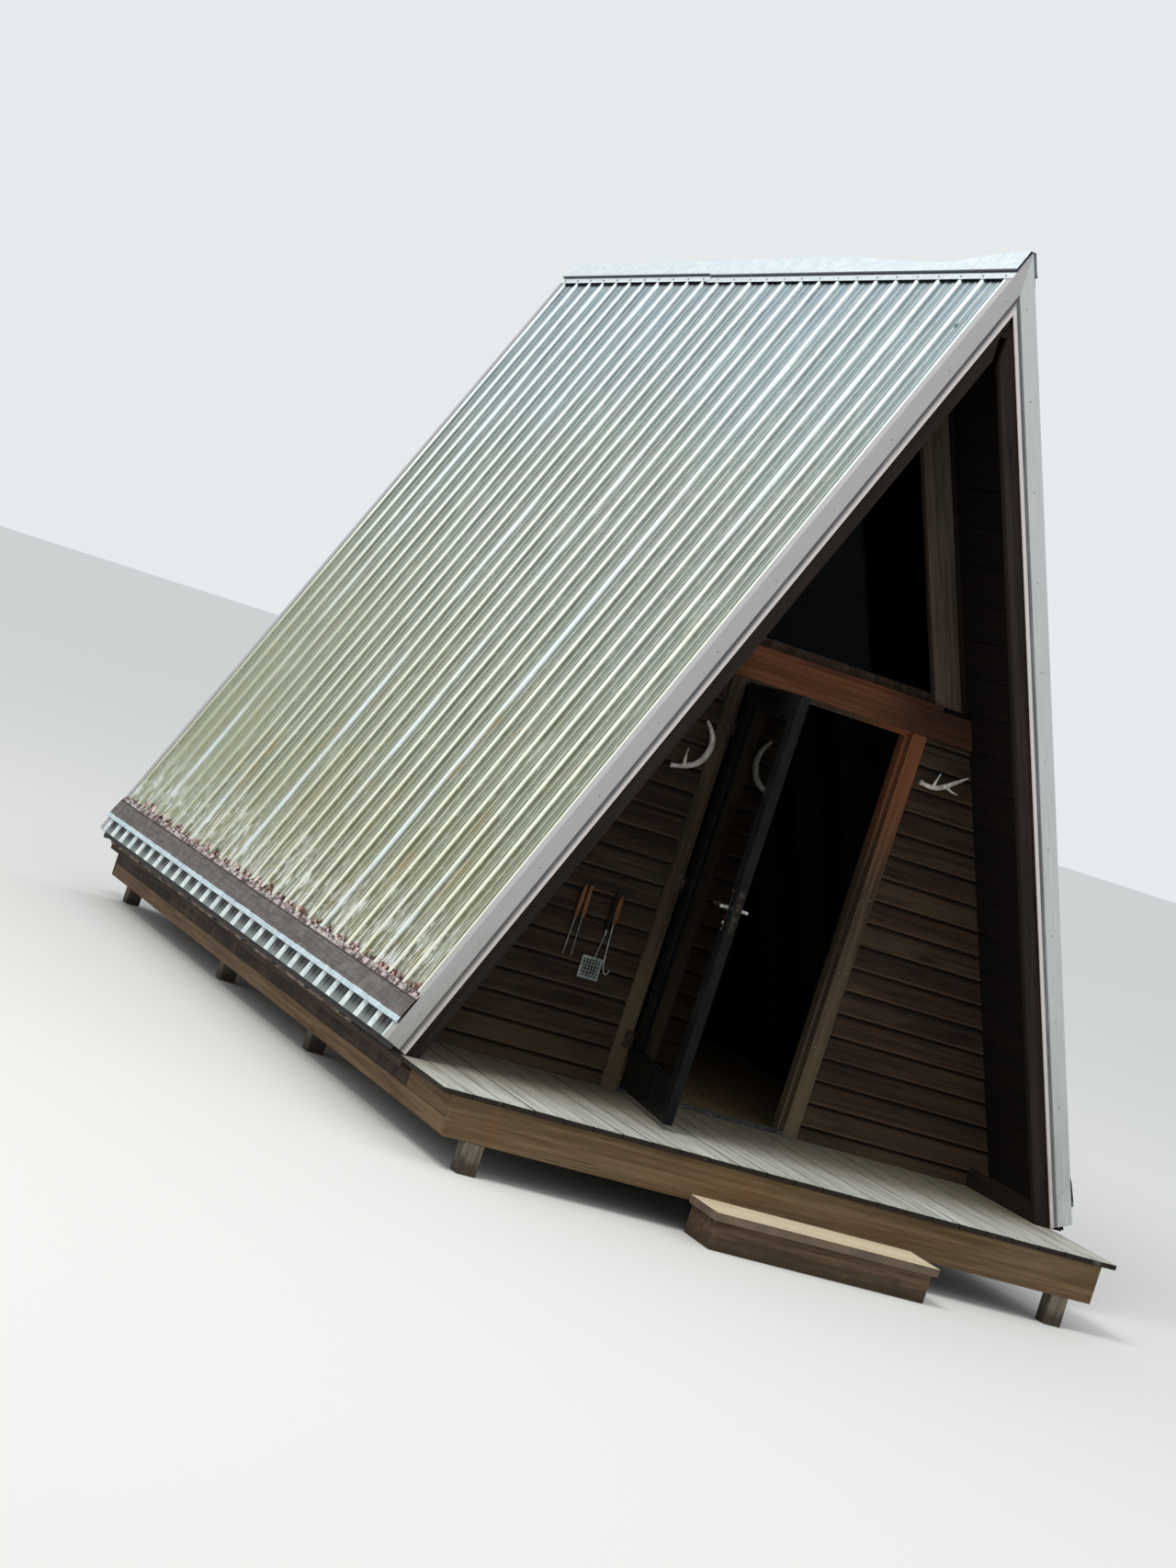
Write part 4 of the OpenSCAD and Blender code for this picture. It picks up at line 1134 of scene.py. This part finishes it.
def drop_leaf(bm, pan):
    """One leaf, narrow at its ends and curled, that lies any way round in its pan."""
    board = board_marks(bm)
    leaf = bmesh.ops.create_grid(bm, x_segments=2, y_segments=2, size=0.5)["verts"]
    length = chance.uniform(0.018, 0.045)
    curl = chance.uniform(-0.5, 0.5)
    tone = chance.random()
    for vert in leaf:
        pinch = 1 - abs(vert.co.x) * 1.2
        vert.co = Vector((vert.co.x * length, vert.co.y * length * 0.6 * pinch,
                          (vert.co.x ** 2 + vert.co.y ** 2) * curl * length))
        vert[board] = tone
    spin = Matrix.Rotation(chance.uniform(0, 6.28), 4, "Z")
    spin = spin @ Matrix.Rotation(chance.uniform(-0.5, 0.5), 4, "X")
    down = strip_top_edge + 0.006 - abs(chance.gauss(0, 0.016))
    beside = first_rib + (pan + 0.5) * rib_pitch + chance.uniform(-0.085, 0.085)
    place = Matrix.Translation((down, beside, -0.016 + chance.uniform(0.003, 0.016)))
    bmesh.ops.transform(bm, matrix=place @ spin, verts=leaf)


def drop_leaves(bm):
    for pan in range(rib_count):
        for _ in range(leaves_a_pan):
            drop_leaf(bm, pan)


bm = bmesh.new()
on_both_slopes(bm, drop_leaves)
litter = fix("leaf_dirt", bm, make_leaf_rot(), "frame_wood")
body_of_leaf = litter.modifiers.new("body", "SOLIDIFY")
body_of_leaf.thickness = 0.0008


# Eave drips
# Folded steel over the lower edge of the roof boards, with a lip that hangs below it. Its nearly black
# colour, with some grime, is painted shade under the ends of the sheets.
drip_paint = Finish("drip_metal", roughness=0.6, metallic=0.2)
grime = drip_paint.cloud(drip_paint.place, detail=5, roughness=0.7, stretch=(30, 8, 30))
# Nearly black: painted shade, with grime, under the ends of the sheets
drip_painted_shade = drip_paint.coat(tint(22, 19, 17), tint(52, 45, 39), grime, 0.4, 0.7)
drip_paint.show(drip_painted_shade, None, grime, 0.0005)
low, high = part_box("eave_drips")
eased("eave_drip_metal", "eave_drips", drip_paint.material, "trim_metal", 0.0004, 1,
      cuts=(AWAY, low.y, high.y, 0.4))


# Framing
# The walls' studs and panels, which show only from inside.
stud_wood = timber("stud_wood", ALONG_Z, tint(150, 124, 92), tint(104, 82, 60), tint(126, 108, 84))


def dress(finish, *names):
    """Gives solids that keep their shape their finish."""
    for name in names:
        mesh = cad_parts[name].data
        mesh.materials.clear()
        mesh.materials.append(finish)


dress(stud_wood, "front_wall_left", "front_wall_right", "front_wall_top", "rear_wall")


# Siding
# Bevelled boards, thick at the lower edge, lapped up the wall and nailed at the studs. The stain is a
# dark reddish brown, worn to grey-brown low down where rain splashes, with painted shade under the
# laps.
course, first_course = 0.116, 0.073
thick, thin, joint_half, below_crests = 0.019, 0.007, 0.0008, 0.0473
stud_xs = (-0.9, -1.3, 0.9, 1.25, 0, 0.45, -0.45)
nail_from_edge, nail_from_rake, nail_up = 0.03, 0.12, 0.022


def splash_and_lap_shade(wood, colour):
    """Grey-brown low down, pale along each board's lower edge, with painted shade under each lap and on
    the faces that look down.
    """
    height = wood.split(wood.place)[2]
    drift = wood.times(wood.cloud(wood.place, detail=5, stretch=(2, 2, 3)), 0.7)
    low_down = wood.level(wood.plus(height, drift), 1.15, 0.65, 0, 0.6)
    own = wood.level(wood.mark("board"), 0.5, 0.95, 0.35, 1.0)
    colour = wood.mix(wood.times(low_down, own), colour, tint(104, 86, 66))
    count = wood.calc("DIVIDE", wood.less(height, deck_high.z + first_course), course)
    part = wood.calc("FRACT", wood.plus(count, 10.0))
    colour = wood.coat(colour, tint(112, 88, 70), part, 0.16, 0.02, 0.35)
    # Painted shade under each lap and on the faces that look down
    lap_shade = wood.level(part, 0.80, 0.92, 0, 0.9)
    underside = wood.level(wood.faces()[2], -0.4, -0.8)
    return wood.mix(wood.calc("MAXIMUM", lap_shade, underside), colour, tint(14, 10, 8))


siding_wood = timber("siding_wood", ALONG_X, tint(71, 51, 38), tint(36, 26, 20), tint(84, 70, 54),
                     wear=0.5, stain=splash_and_lap_shade)


def slope_plane(side, depth):
    """A plane inside one slope, at a depth below the crests of the ribs."""
    point = Vector((0, 0, ridge_z - depth / math.sin(lean)))
    return point, Vector((side * math.cos(lean), 0, math.sin(lean)))


def lap_siding(name, node, out, joints=False):
    """Courses of siding inside a solid's box, sawn along the slopes. Out is the way that they face."""
    low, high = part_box(node)
    wall = high.y if out < 0 else low.y
    bm = bmesh.new()
    nails = []
    count = math.ceil((high.z - low.z - first_course) / course) + 1
    for number in range(count):
        foot = low.z + first_course + (number - 1) * course
        slope_x = (ridge_z - foot) * math.tan(lean)
        joint = chance.uniform(-0.5, 0.5) * slope_x
        spans = [(low.x, high.x)]
        if joints:
            spans = [(low.x, joint - joint_half), (joint + joint_half, high.x)]
        near, far = sorted((wall, wall + out * thick))
        for left, right in spans:
            made = cut_board(bm, (left, near, foot + chance.uniform(0, 0.0015)),
                             (right, far, foot + course + 0.001))
            for vert in made:
                if vert.co.z > foot + course / 2 and abs(vert.co.y - wall) > 0.01:
                    vert.co.y = wall + out * (thin + chance.uniform(0, 0.0004))
        for x in (low.x + nail_from_edge, high.x - nail_from_edge, *stud_xs):
            if low.x < x < high.x and abs(x) < slope_x - nail_from_rake and foot > low.z:
                x += chance.uniform(-0.006, 0.006)
                nails.append((x, wall + out * (thick - 0.0025), foot + nail_up))
    saw(bm, (0, 0, low.z + 0.0002), (0, 0, -1))
    saw(bm, (0, 0, high.z - 0.0002), (0, 0, 1))
    for side in (-1, 1):
        saw(bm, *slope_plane(side, below_crests))
    slice_up(bm, ACROSS, low.x, high.x, 0.35)
    for vert in bm.verts:
        vert.co.z += noise.noise(Vector((vert.co.x * 1.5, 0, round(vert.co.z / course) * 3.3))) * 0.0008
    ease_edges(bm, 0.0012, 1)
    fix(name, bm, siding_wood, "siding", node)
    heads_bm = bmesh.new()
    heads(heads_bm, nails, (0, out, 0), radius=0.0035, proud=0.0015)
    fix(name + "_nails", heads_bm, rusty.material, "hardware")


lap_siding("siding_left", "front_siding_left", -1)
lap_siding("siding_right", "front_siding_right", -1)
lap_siding("siding_rear", "rear_siding", 1, joints=True)


# Header and sill
# An orange-brown beam across the gable over the door, with a board lying on it under the glass.
def darker_ends(wood, colour):
    """Bright over the door, and dark towards its ends."""
    across = wood.split(wood.place)[0]
    right_end = wood.level(across, 0.25, 0.6, 0, 0.7)
    left_end = wood.level(across, -0.3, -0.6, 0, 0.5)
    return wood.mix(wood.calc("MAXIMUM", right_end, left_end), colour, tint(50, 33, 26))


header_wood = timber("header_wood", ALONG_X, tint(136, 83, 53), tint(81, 48, 31), tint(110, 80, 59),
                     stain=darker_ends)
for name, node in (("header_plank", "header_beam"), ("sill_plank", "gable_sill")):
    low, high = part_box(node)
    eased(name, node, header_wood, "header_wood", cuts=(ACROSS, low.x, high.x, 0.3))
header_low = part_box("header_beam")[0]
bm = bmesh.new()
header_nail_xs = (-0.62, -0.3, 0.1, 0.5, 0.66)
heads(bm, [(x, header_low.y, header_low.z + up) for x in header_nail_xs for up in (0.035, 0.105)],
      (0, -1, 0))
fix("header_nails", bm, rusty.material, "hardware")


# Gable glass
# A triangular pane in a frame of dark bars, with flat brown boards over its edges.
bar_wood = timber("bar_wood", ON_SLOPE, tint(72, 56, 44), tint(40, 30, 24), tint(62, 52, 44),
                  mirrored=True)
eased("gable_bars", "gable_frame", bar_wood, "gable_bars", 0.0025)

trim_wood = timber("trim_wood", ON_SLOPE, tint(112, 96, 80), tint(70, 56, 46), tint(104, 96, 86),
                   mirrored=True)
for name, node in (("gable_trim_boards", "gable_trims"), ("rear_trim_boards", "rear_trims")):
    eased(name, node, trim_wood, "siding", 0.0025, cuts=(UP, deck_high.z, ridge_z, 0.5))


def make_glass(name, colour, bend=1.45):
    """Clear glass, a little wavy, with thin patches of dust."""
    glass = Finish(name, roughness=0.03)
    glass.shader.inputs["Transmission Weight"].default_value = 1.0
    glass.shader.inputs["IOR"].default_value = bend
    waves = glass.cloud(glass.place, 1.4, 1)
    dust = glass.cloud(glass.place, 5, 4, 0.55)
    colour = glass.coat(colour, tint(86, 92, 90), dust, 0.5, 0.8, 0.3)
    return glass.show(colour, glass.level(dust, 0.5, 0.8, 0.02, 0.12), waves, 0.002)


dress(make_glass("pane_glass", tint(96, 124, 150), bend=1.12), "gable_glass")


# Casings and door frame
# Flat boards on the wall beside the doorway, screwed through their faces, and jambs behind them with
# stops that the door shuts against.
def casing_stain(wood, colour):
    """Paler low down where rain splashes, and redder at the top on the right."""
    across, _, height = wood.split(wood.place)
    drift = wood.times(wood.cloud(wood.place, 3, 4), 0.6)
    low_down = wood.level(wood.plus(height, drift), 1.6, 0.8, 0, 0.6)
    colour = wood.mix(low_down, colour, tint(122, 106, 82))
    redder = wood.times(wood.level(across, 0.2, 0.5), wood.level(height, 1.5, 2.3, 0, 0.55))
    return wood.mix(redder, colour, tint(158, 94, 60))


casing_wood = timber("casing_wood", ALONG_Z, tint(100, 82, 64), tint(54, 43, 34), tint(104, 92, 74),
                     stain=casing_stain)
casing_low, casing_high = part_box("door_casings")
for name, node in (("casing_boards", "door_casings"), ("jamb_boards", "door_frame")):
    eased(name, node, casing_wood, "casing_wood", 0.002, cuts=(UP, casing_low.z, casing_high.z, 0.4))

bm = bmesh.new()
casing_xs = [side.x + way * inset for side, way in ((casing_low, 1), (casing_high, -1))
             for inset in (0.022, 0.058)]
casing_zs = [casing_low.z + 0.09 + i * 0.376 for i in range(6)]
heads(bm, [(x, casing_low.y, z + chance.uniform(-0.01, 0.01)) for x in casing_xs for z in casing_zs],
      (0, -1, 0), radius=0.0042, proud=0.001)
fix("casing_screws", bm, screw_steel.material, "hardware")

sill_metal = Finish("threshold_metal", roughness=0.45, metallic=0.7)
scuffs = sill_metal.cloud(sill_metal.place, detail=5, roughness=0.75, stretch=(90, 30, 30))
sill_colour = sill_metal.coat(tint(44, 44, 43), tint(104, 102, 98), scuffs, 0.4, 0.7)
sill_metal.show(sill_colour, sill_metal.level(scuffs, 0.3, 0.7, 0.35, 0.6), scuffs, 0.0005)
sill_low, sill_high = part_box("threshold")
groove_deep, ridge_w, ridge_pitch = 0.004, 0.0055, 0.0105
bm = bmesh.new()
cut_board(bm, sill_low, (sill_high.x, sill_high.y, sill_high.z - groove_deep))
for number in range(4):
    ridge = sill_low.y + 0.006 + number * ridge_pitch
    cut_board(bm, (sill_low.x, ridge, sill_high.z - 0.005), (sill_high.x, ridge + ridge_w, sill_high.z))
ease_edges(bm, 0.0008, 2)
fix("threshold_bar", bm, sill_metal.material, "dark_metal", "threshold")


# Door leaf
# A tall leaf of two stiles and two rails in black gloss paint, with beads that hold the pane. It hangs
# on the left jamb, opens outwards and stands open.
leaf_w, leaf_h, leaf_t = 0.914, 2.026, 0.045
stile, bottom_rail = 0.108, 0.190
open_turn = math.radians(99)
pin = Vector((-0.354, -1.850, deck_high.z + 0.026))
hang_at = (Matrix.Translation(pin) @ Matrix.Rotation(-open_turn, 4, "Z")
           @ Matrix.Translation((0.003, 0.007, 0)))


def make_door_paint():
    """Black gloss paint with brush marks, dull in places, and a few pale scuffs."""
    paint = Finish("door_paint", roughness=0.3)
    paint.shader.inputs["Specular IOR Level"].default_value = 0.07
    brush = paint.cloud(paint.place, detail=4, stretch=(60, 60, 1.5))
    blots = paint.cloud(paint.place, 5, 6, 0.65)
    scuffs = paint.cloud(paint.place, detail=6, roughness=0.8, stretch=(30, 30, 9))
    colour = paint.coat(tint(15, 17, 18), tint(24, 26, 25), blots, 0.4, 0.7)
    colour = paint.coat(colour, tint(70, 69, 66), scuffs, 0.66, 0.76, 0.22)
    dull = paint.level(blots, 0.35, 0.7, 0.2, 0.4)
    return paint.show(colour, dull, brush, 0.0006)


door_paint = make_door_paint()
light_low, light_high = (stile, bottom_rail), (leaf_w - stile, leaf_h - stile)
rail_in = 0.0004
bm = bmesh.new()
cut_board(bm, (0, 0, 0), (stile, leaf_t, leaf_h))
cut_board(bm, (leaf_w - stile, 0, 0), (leaf_w, leaf_t, leaf_h))
cut_board(bm, (stile, rail_in, 0), (leaf_w - stile, leaf_t - rail_in, bottom_rail))
cut_board(bm, (stile, rail_in, leaf_h - stile), (leaf_w - stile, leaf_t - rail_in, leaf_h))
ease_edges(bm, 0.0015, 2)
beads = bmesh.new()
bead, bead_out, bead_back = 0.012, 0.003, 0.0192
for near, far in ((bead_out, bead_back), (leaf_t - bead_back, leaf_t - bead_out)):
    for left in (light_low[0], light_high[0] - bead):
        cut_board(beads, (left, near, light_low[1]), (left + bead, far, light_high[1]))
    for foot in (light_low[1], light_high[1] - bead):
        cut_board(beads, (light_low[0] + bead, near, foot), (light_high[0] - bead, far, foot + bead))
ease_edges(beads, 0.0035, 3)
bmesh.ops.transform(bm, matrix=hang_at, verts=bm.verts)
bmesh.ops.transform(beads, matrix=hang_at, verts=beads.verts)
fix("leaf_frame", bm, door_paint, "dark_metal", "door_leaf", body="door")
fix("glass_beads", beads, door_paint, "dark_metal", body="door")
dress(make_glass("door_pane_glass", tint(112, 128, 130)), "door_glass")


# Handle and lock
# A long plate of dark bronzed steel on each face of the leaf, with a rounded lever and a lock below it
# of satin steel.
def make_steel(name, low, high, rough, metallic=1.0):
    """Steel with fine upright hairs and blotches between two colours."""
    metal = Finish(name, roughness=rough, metallic=metallic)
    hairs = metal.cloud(metal.place, detail=3, stretch=(500, 500, 40))
    marks = metal.cloud(metal.place, 45, 5, 0.7)
    colour = metal.coat(low, high, marks, 0.4, 0.7)
    return metal.show(colour, metal.level(hairs, 0.3, 0.7, rough - 0.05, rough + 0.1), hairs, 0.0002)


satin = make_steel("satin_steel", tint(150, 150, 146), tint(196, 195, 190), 0.3)
bronze = make_steel("bronzed_steel", tint(34, 30, 27), tint(70, 62, 54), 0.45)
handle_at = Vector((leaf_w - 0.060, 0, 1.040 - 0.026))
plate_w, plate_h, plate_t, plate_foot = 0.034, 0.200, 0.007, -0.110
lever_r, lever_l, lever_out = 0.008, 0.125, 0.048
plate_face, lock_z = -plate_t + 0.001, -0.072


def rod(bm, start, end, radius, thin_end=None, sides=24):
    """A round bar between two places."""
    start, end = Vector(start), Vector(end)
    turn = (end - start).to_track_quat("Z", "Y").to_matrix().to_4x4()
    bmesh.ops.create_cone(bm, cap_ends=True, segments=sides, radius1=radius,
                          radius2=radius if thin_end is None else thin_end,
                          depth=(end - start).length,
                          matrix=Matrix.Translation((start + end) / 2) @ turn)


def both_faces(part):
    """What is drawn on the door's outer face, put on both faces of the hanging door."""
    bmesh.ops.translate(part, vec=handle_at, verts=part.verts)
    mirrored = bmesh.ops.duplicate(part, geom=part.verts[:] + part.edges[:] + part.faces[:])["geom"]
    verts = [g for g in mirrored if isinstance(g, bmesh.types.BMVert)]
    bmesh.ops.scale(part, vec=(1, -1, 1), verts=verts)
    bmesh.ops.translate(part, vec=(0, leaf_t, 0), verts=verts)
    bmesh.ops.reverse_faces(part, faces=[g for g in mirrored if isinstance(g, bmesh.types.BMFace)])
    bmesh.ops.transform(part, matrix=hang_at, verts=part.verts)


bm = bmesh.new()
cut_board(bm, (-plate_w / 2, -plate_t, plate_foot), (plate_w / 2, 0, plate_foot + plate_h))
ease_edges(bm, 0.003, 3)
both_faces(bm)
fix("handle_plates", bm, bronze, "hardware", "door_handle", body="door")

bm = bmesh.new()
rod(bm, (0, plate_face, 0), (0, -0.016, 0), 0.013)
rod(bm, (0, -0.01, 0), (0, -lever_out + 0.003, 0), lever_r + 0.001)
neck = -lever_out + lever_r + 0.001
rod(bm, (lever_r + 0.001, neck, 0), (-lever_l + 0.006, neck, 0), lever_r)
rod(bm, (-lever_l + 0.008, neck, 0), (-lever_l + 0.008, neck + 0.02, 0), lever_r * 0.9)
rod(bm, (0, plate_face, lock_z), (0, -plate_t - 0.004, lock_z), 0.011)
rod(bm, (0, -plate_t - 0.003, lock_z), (0, -plate_t - 0.005, lock_z), 0.007)
for up in (-0.1, 0.08):
    rod(bm, (0, plate_face, up), (0, -plate_t - 0.0012, up), 0.0055, 0.004, 12)
ease_edges(bm, 0.0008, 2)
both_faces(bm)
fix("levers", bm, satin, "hardware", body="door")

bm = bmesh.new()
cut_board(bm, (leaf_w - 0.0002, 0.0105, handle_at.z - 0.115),
          (leaf_w + 0.0012, 0.0345, handle_at.z + 0.095))
cut_board(bm, (leaf_w, 0.0165, handle_at.z - 0.012),
          (leaf_w + 0.004, 0.0285, handle_at.z + 0.012))
ease_edges(bm, 0.0005, 2)
bmesh.ops.transform(bm, matrix=hang_at, verts=bm.verts)
fix("latch_plate", bm, bronze, "hardware", body="door")


# Hinges
# Three butt hinges. The outer knuckles and a leaf let into the door's edge are on the door, of dark
# bronzed steel, and the middle knuckle is on a plate on the casing, painted brown.
hinge_h, hinge_in = 0.090, 0.180
hinge_zs = [pin.z + hinge_in + i * (leaf_h - 2 * hinge_in - hinge_h) / 2 for i in range(3)]
bm = cut_out("door_hinges")
for z in hinge_zs:
    for end, tip in ((z, z - 0.004), (z + hinge_h, z + hinge_h + 0.004)):
        rod(bm, (pin.x, pin.y, end), (pin.x, pin.y, tip), 0.0045, 0.002, 16)
ease_edges(bm, 0.0005, 1)
fix("door_knuckles", bm, bronze, "hardware", "door_hinges", body="door")

brown_hinge = make_steel("painted_hinge", tint(58, 44, 34), tint(92, 76, 60), 0.6, metallic=0.2)
bm = cut_out("casing_hinges")
ease_edges(bm, 0.0005, 1)
low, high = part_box("casing_hinges")
plate_front, screw_x = high.y - 0.0025, pin.x - 0.028
for z in hinge_zs:
    for up in (0.012, 0.045, 0.078):
        rod(bm, (screw_x, plate_front + 0.0008, z + up), (screw_x, plate_front - 0.0008, z + up),
            0.004, 0.003, 12)
fix("casing_knuckles", bm, brown_hinge, "hardware", "casing_hinges")


# Antlers
# Two shed antlers hung on the siding by the door, bleached nearly white, each with a beam and tines.
def make_bone():
    """Bleached bone, ridged along the beam, with a few brown blots."""
    bone = Finish("antler_bone", roughness=0.6)
    ridges = bone.cloud(bone.place, detail=5, stretch=(60, 60, 20))
    blots = bone.cloud(bone.place, 14, 4)
    colour = bone.coat(tint(190, 182, 168), tint(240, 236, 226), ridges, 0.35, 0.65)
    colour = bone.coat(colour, tint(150, 134, 112), blots, 0.55, 0.72, 0.5)
    return bone.show(colour, None, ridges, 0.001)


def horn(places, radii):
    """A smooth tapering bar through a row of places."""
    curve = bpy.data.curves.new("horn", "CURVE")
    curve.dimensions = "3D"
    curve.bevel_depth = 1.0
    curve.bevel_resolution = 3
    curve.resolution_u = 6
    curve.use_fill_caps = True
    line = curve.splines.new("NURBS")
    line.points.add(len(places) - 1)
    line.use_endpoint_u = True
    line.order_u = 3
    for point, place, radius in zip(line.points, places, radii):
        point.co = (*place, 1)
        point.radius = radius
    shape = bpy.data.objects.new("horn", curve)
    bm = bmesh.new()
    bm.from_mesh(shape.to_mesh())
    bpy.data.objects.remove(shape)
    bpy.data.curves.remove(curve)
    return bm


def joined(shapes):
    """Several meshes as one."""
    whole = bmesh.new()
    for shape in shapes:
        mesh = bpy.data.meshes.new("part")
        shape.to_mesh(mesh)
        shape.free()
        whole.from_mesh(mesh)
        bpy.data.meshes.remove(mesh)
    return whole


bone = make_bone()
siding_y = -1.837
deck = deck_high.z

# Each bar as its places, from the deck and the face of the siding, and its radii
antlers = {
    "antler_left": [
        ([(-0.497, -0.012, 1.814), (-0.462, -0.030, 1.775), (-0.445, -0.040, 1.705),
          (-0.470, -0.038, 1.625), (-0.530, -0.030, 1.578), (-0.599, -0.016, 1.564)],
         [0.007, 0.013, 0.016, 0.016, 0.014, 0.010]),
        ([(-0.545, -0.026, 1.575), (-0.562, -0.040, 1.610), (-0.563, -0.050, 1.665)],
         [0.010, 0.008, 0.002]),
        ([(-0.599, -0.016, 1.564), (-0.612, -0.014, 1.566)], [0.014, 0.013]),
    ],
    "antler_right": [
        ([(0.690, -0.014, 1.850), (0.740, -0.030, 1.838), (0.800, -0.038, 1.862),
          (0.862, -0.034, 1.905), (0.925, -0.014, 1.940)],
         [0.009, 0.013, 0.013, 0.010, 0.004]),
        ([(0.745, -0.030, 1.840), (0.742, -0.050, 1.878), (0.752, -0.056, 1.920)],
         [0.009, 0.007, 0.002]),
        ([(0.812, -0.036, 1.868), (0.832, -0.054, 1.850), (0.872, -0.060, 1.846)],
         [0.008, 0.006, 0.002]),
        ([(0.682, -0.014, 1.852), (0.690, -0.014, 1.850)], [0.013, 0.014]),
    ],
}
for name, tines in antlers.items():
    parts = []
    for places, radii in tines:
        parts.append(horn([(x, siding_y + y - 0.004, deck + z) for x, y, z in places], radii))
    antler = joined(parts)
    for vert in antler.verts:
        vert.co += noise.noise_vector(vert.co * 60) * 0.0008
    fix(name, antler, bone, "deck_boards")


# Grill tools
# A slotted turner with a black grip, and a long hook and two thin tools with turned wooden handles,
# hung on nails in the siding.
tool_wood = timber("tool_wood", ALONG_Z, tint(150, 104, 66), tint(96, 62, 40), knots=0)
black_wood = timber("black_handle", ALONG_Z, tint(38, 34, 32), tint(22, 20, 19), knots=0)
steel_bm, wood_bm, black_bm = bmesh.new(), bmesh.new(), bmesh.new()
turner_x, left_fork_x, right_fork_x, hook_x = -0.658, -0.832, -0.798, -0.634


def handle(bm, x, foot, top, lean_x=0.0):
    """A turned grip, thick in its middle and thinnest at its top."""
    y = siding_y - 0.016
    length = top - foot
    stations = ((0.0, 0.008), (0.12, 0.0105), (0.5, 0.0125), (0.85, 0.0105), (1.0, 0.006))
    for (low, r1), (high, r2) in zip(stations, stations[1:]):
        rod(bm, (x + lean_x * low, y, deck + foot + low * length),
            (x + lean_x * high, y, deck + foot + high * length), r1, r2, 14)


handle(black_bm, turner_x, 0.725, 0.915)
handle(wood_bm, left_fork_x, 0.745, 0.905, 0.004)
handle(wood_bm, right_fork_x, 0.745, 0.905, -0.004)
handle(wood_bm, hook_x, 0.760, 0.897)
tool_y = siding_y - 0.014
rod(steel_bm, (turner_x, tool_y, deck + 0.735), (turner_x, tool_y, deck + 0.700), 0.0075, 0.005, 14)
rod(steel_bm, (turner_x, tool_y, deck + 0.705), (-0.672, tool_y, deck + 0.585), 0.0035, sides=10)
for x, tip_x in ((left_fork_x, -0.836), (right_fork_x, -0.794)):
    rod(steel_bm, (x, tool_y, deck + 0.75), (tip_x, tool_y, deck + 0.56), 0.003, sides=10)

# The turner's blade is a grid of bars, thick round its edge
blade_x, blade_z, blade_half = -0.680, deck + 0.530, 0.048
blade_end = blade_half + 0.006
for number in range(7):
    along = -blade_half + number * blade_half / 3
    thick_bar = 0.006 if number in (0, 6) else 0.0018
    cut_board(steel_bm, (blade_x + along - thick_bar, tool_y - 0.0015, blade_z - blade_end),
              (blade_x + along + thick_bar, tool_y + 0.0015, blade_z + blade_end))
    cut_board(steel_bm, (blade_x - blade_end, tool_y - 0.003, blade_z + along - thick_bar),
              (blade_x + blade_end, tool_y, blade_z + along + thick_bar))

hook_line = ((hook_x, 0, 0.77), (-0.628, 0, 0.65), (-0.616, 0, 0.545), (-0.604, -0.004, 0.520),
             (-0.588, -0.008, 0.522), (-0.585, -0.010, 0.545))
hook = horn([(x, tool_y + y, deck + z) for x, y, z in hook_line], [0.0035] * 5 + [0.0025])
hang_z = deck + 0.902
for x in (left_fork_x, right_fork_x, turner_x, hook_x):
    rod(steel_bm, (x, siding_y + 0.012, hang_z), (x, siding_y - 0.030, hang_z), 0.0022, sides=8)
fix("tool_steel", joined([steel_bm, hook]), satin, "hardware")
fix("tool_handles", wood_bm, tool_wood, "casing_wood")
fix("tool_grip", black_bm, black_wood, "gable_bars")
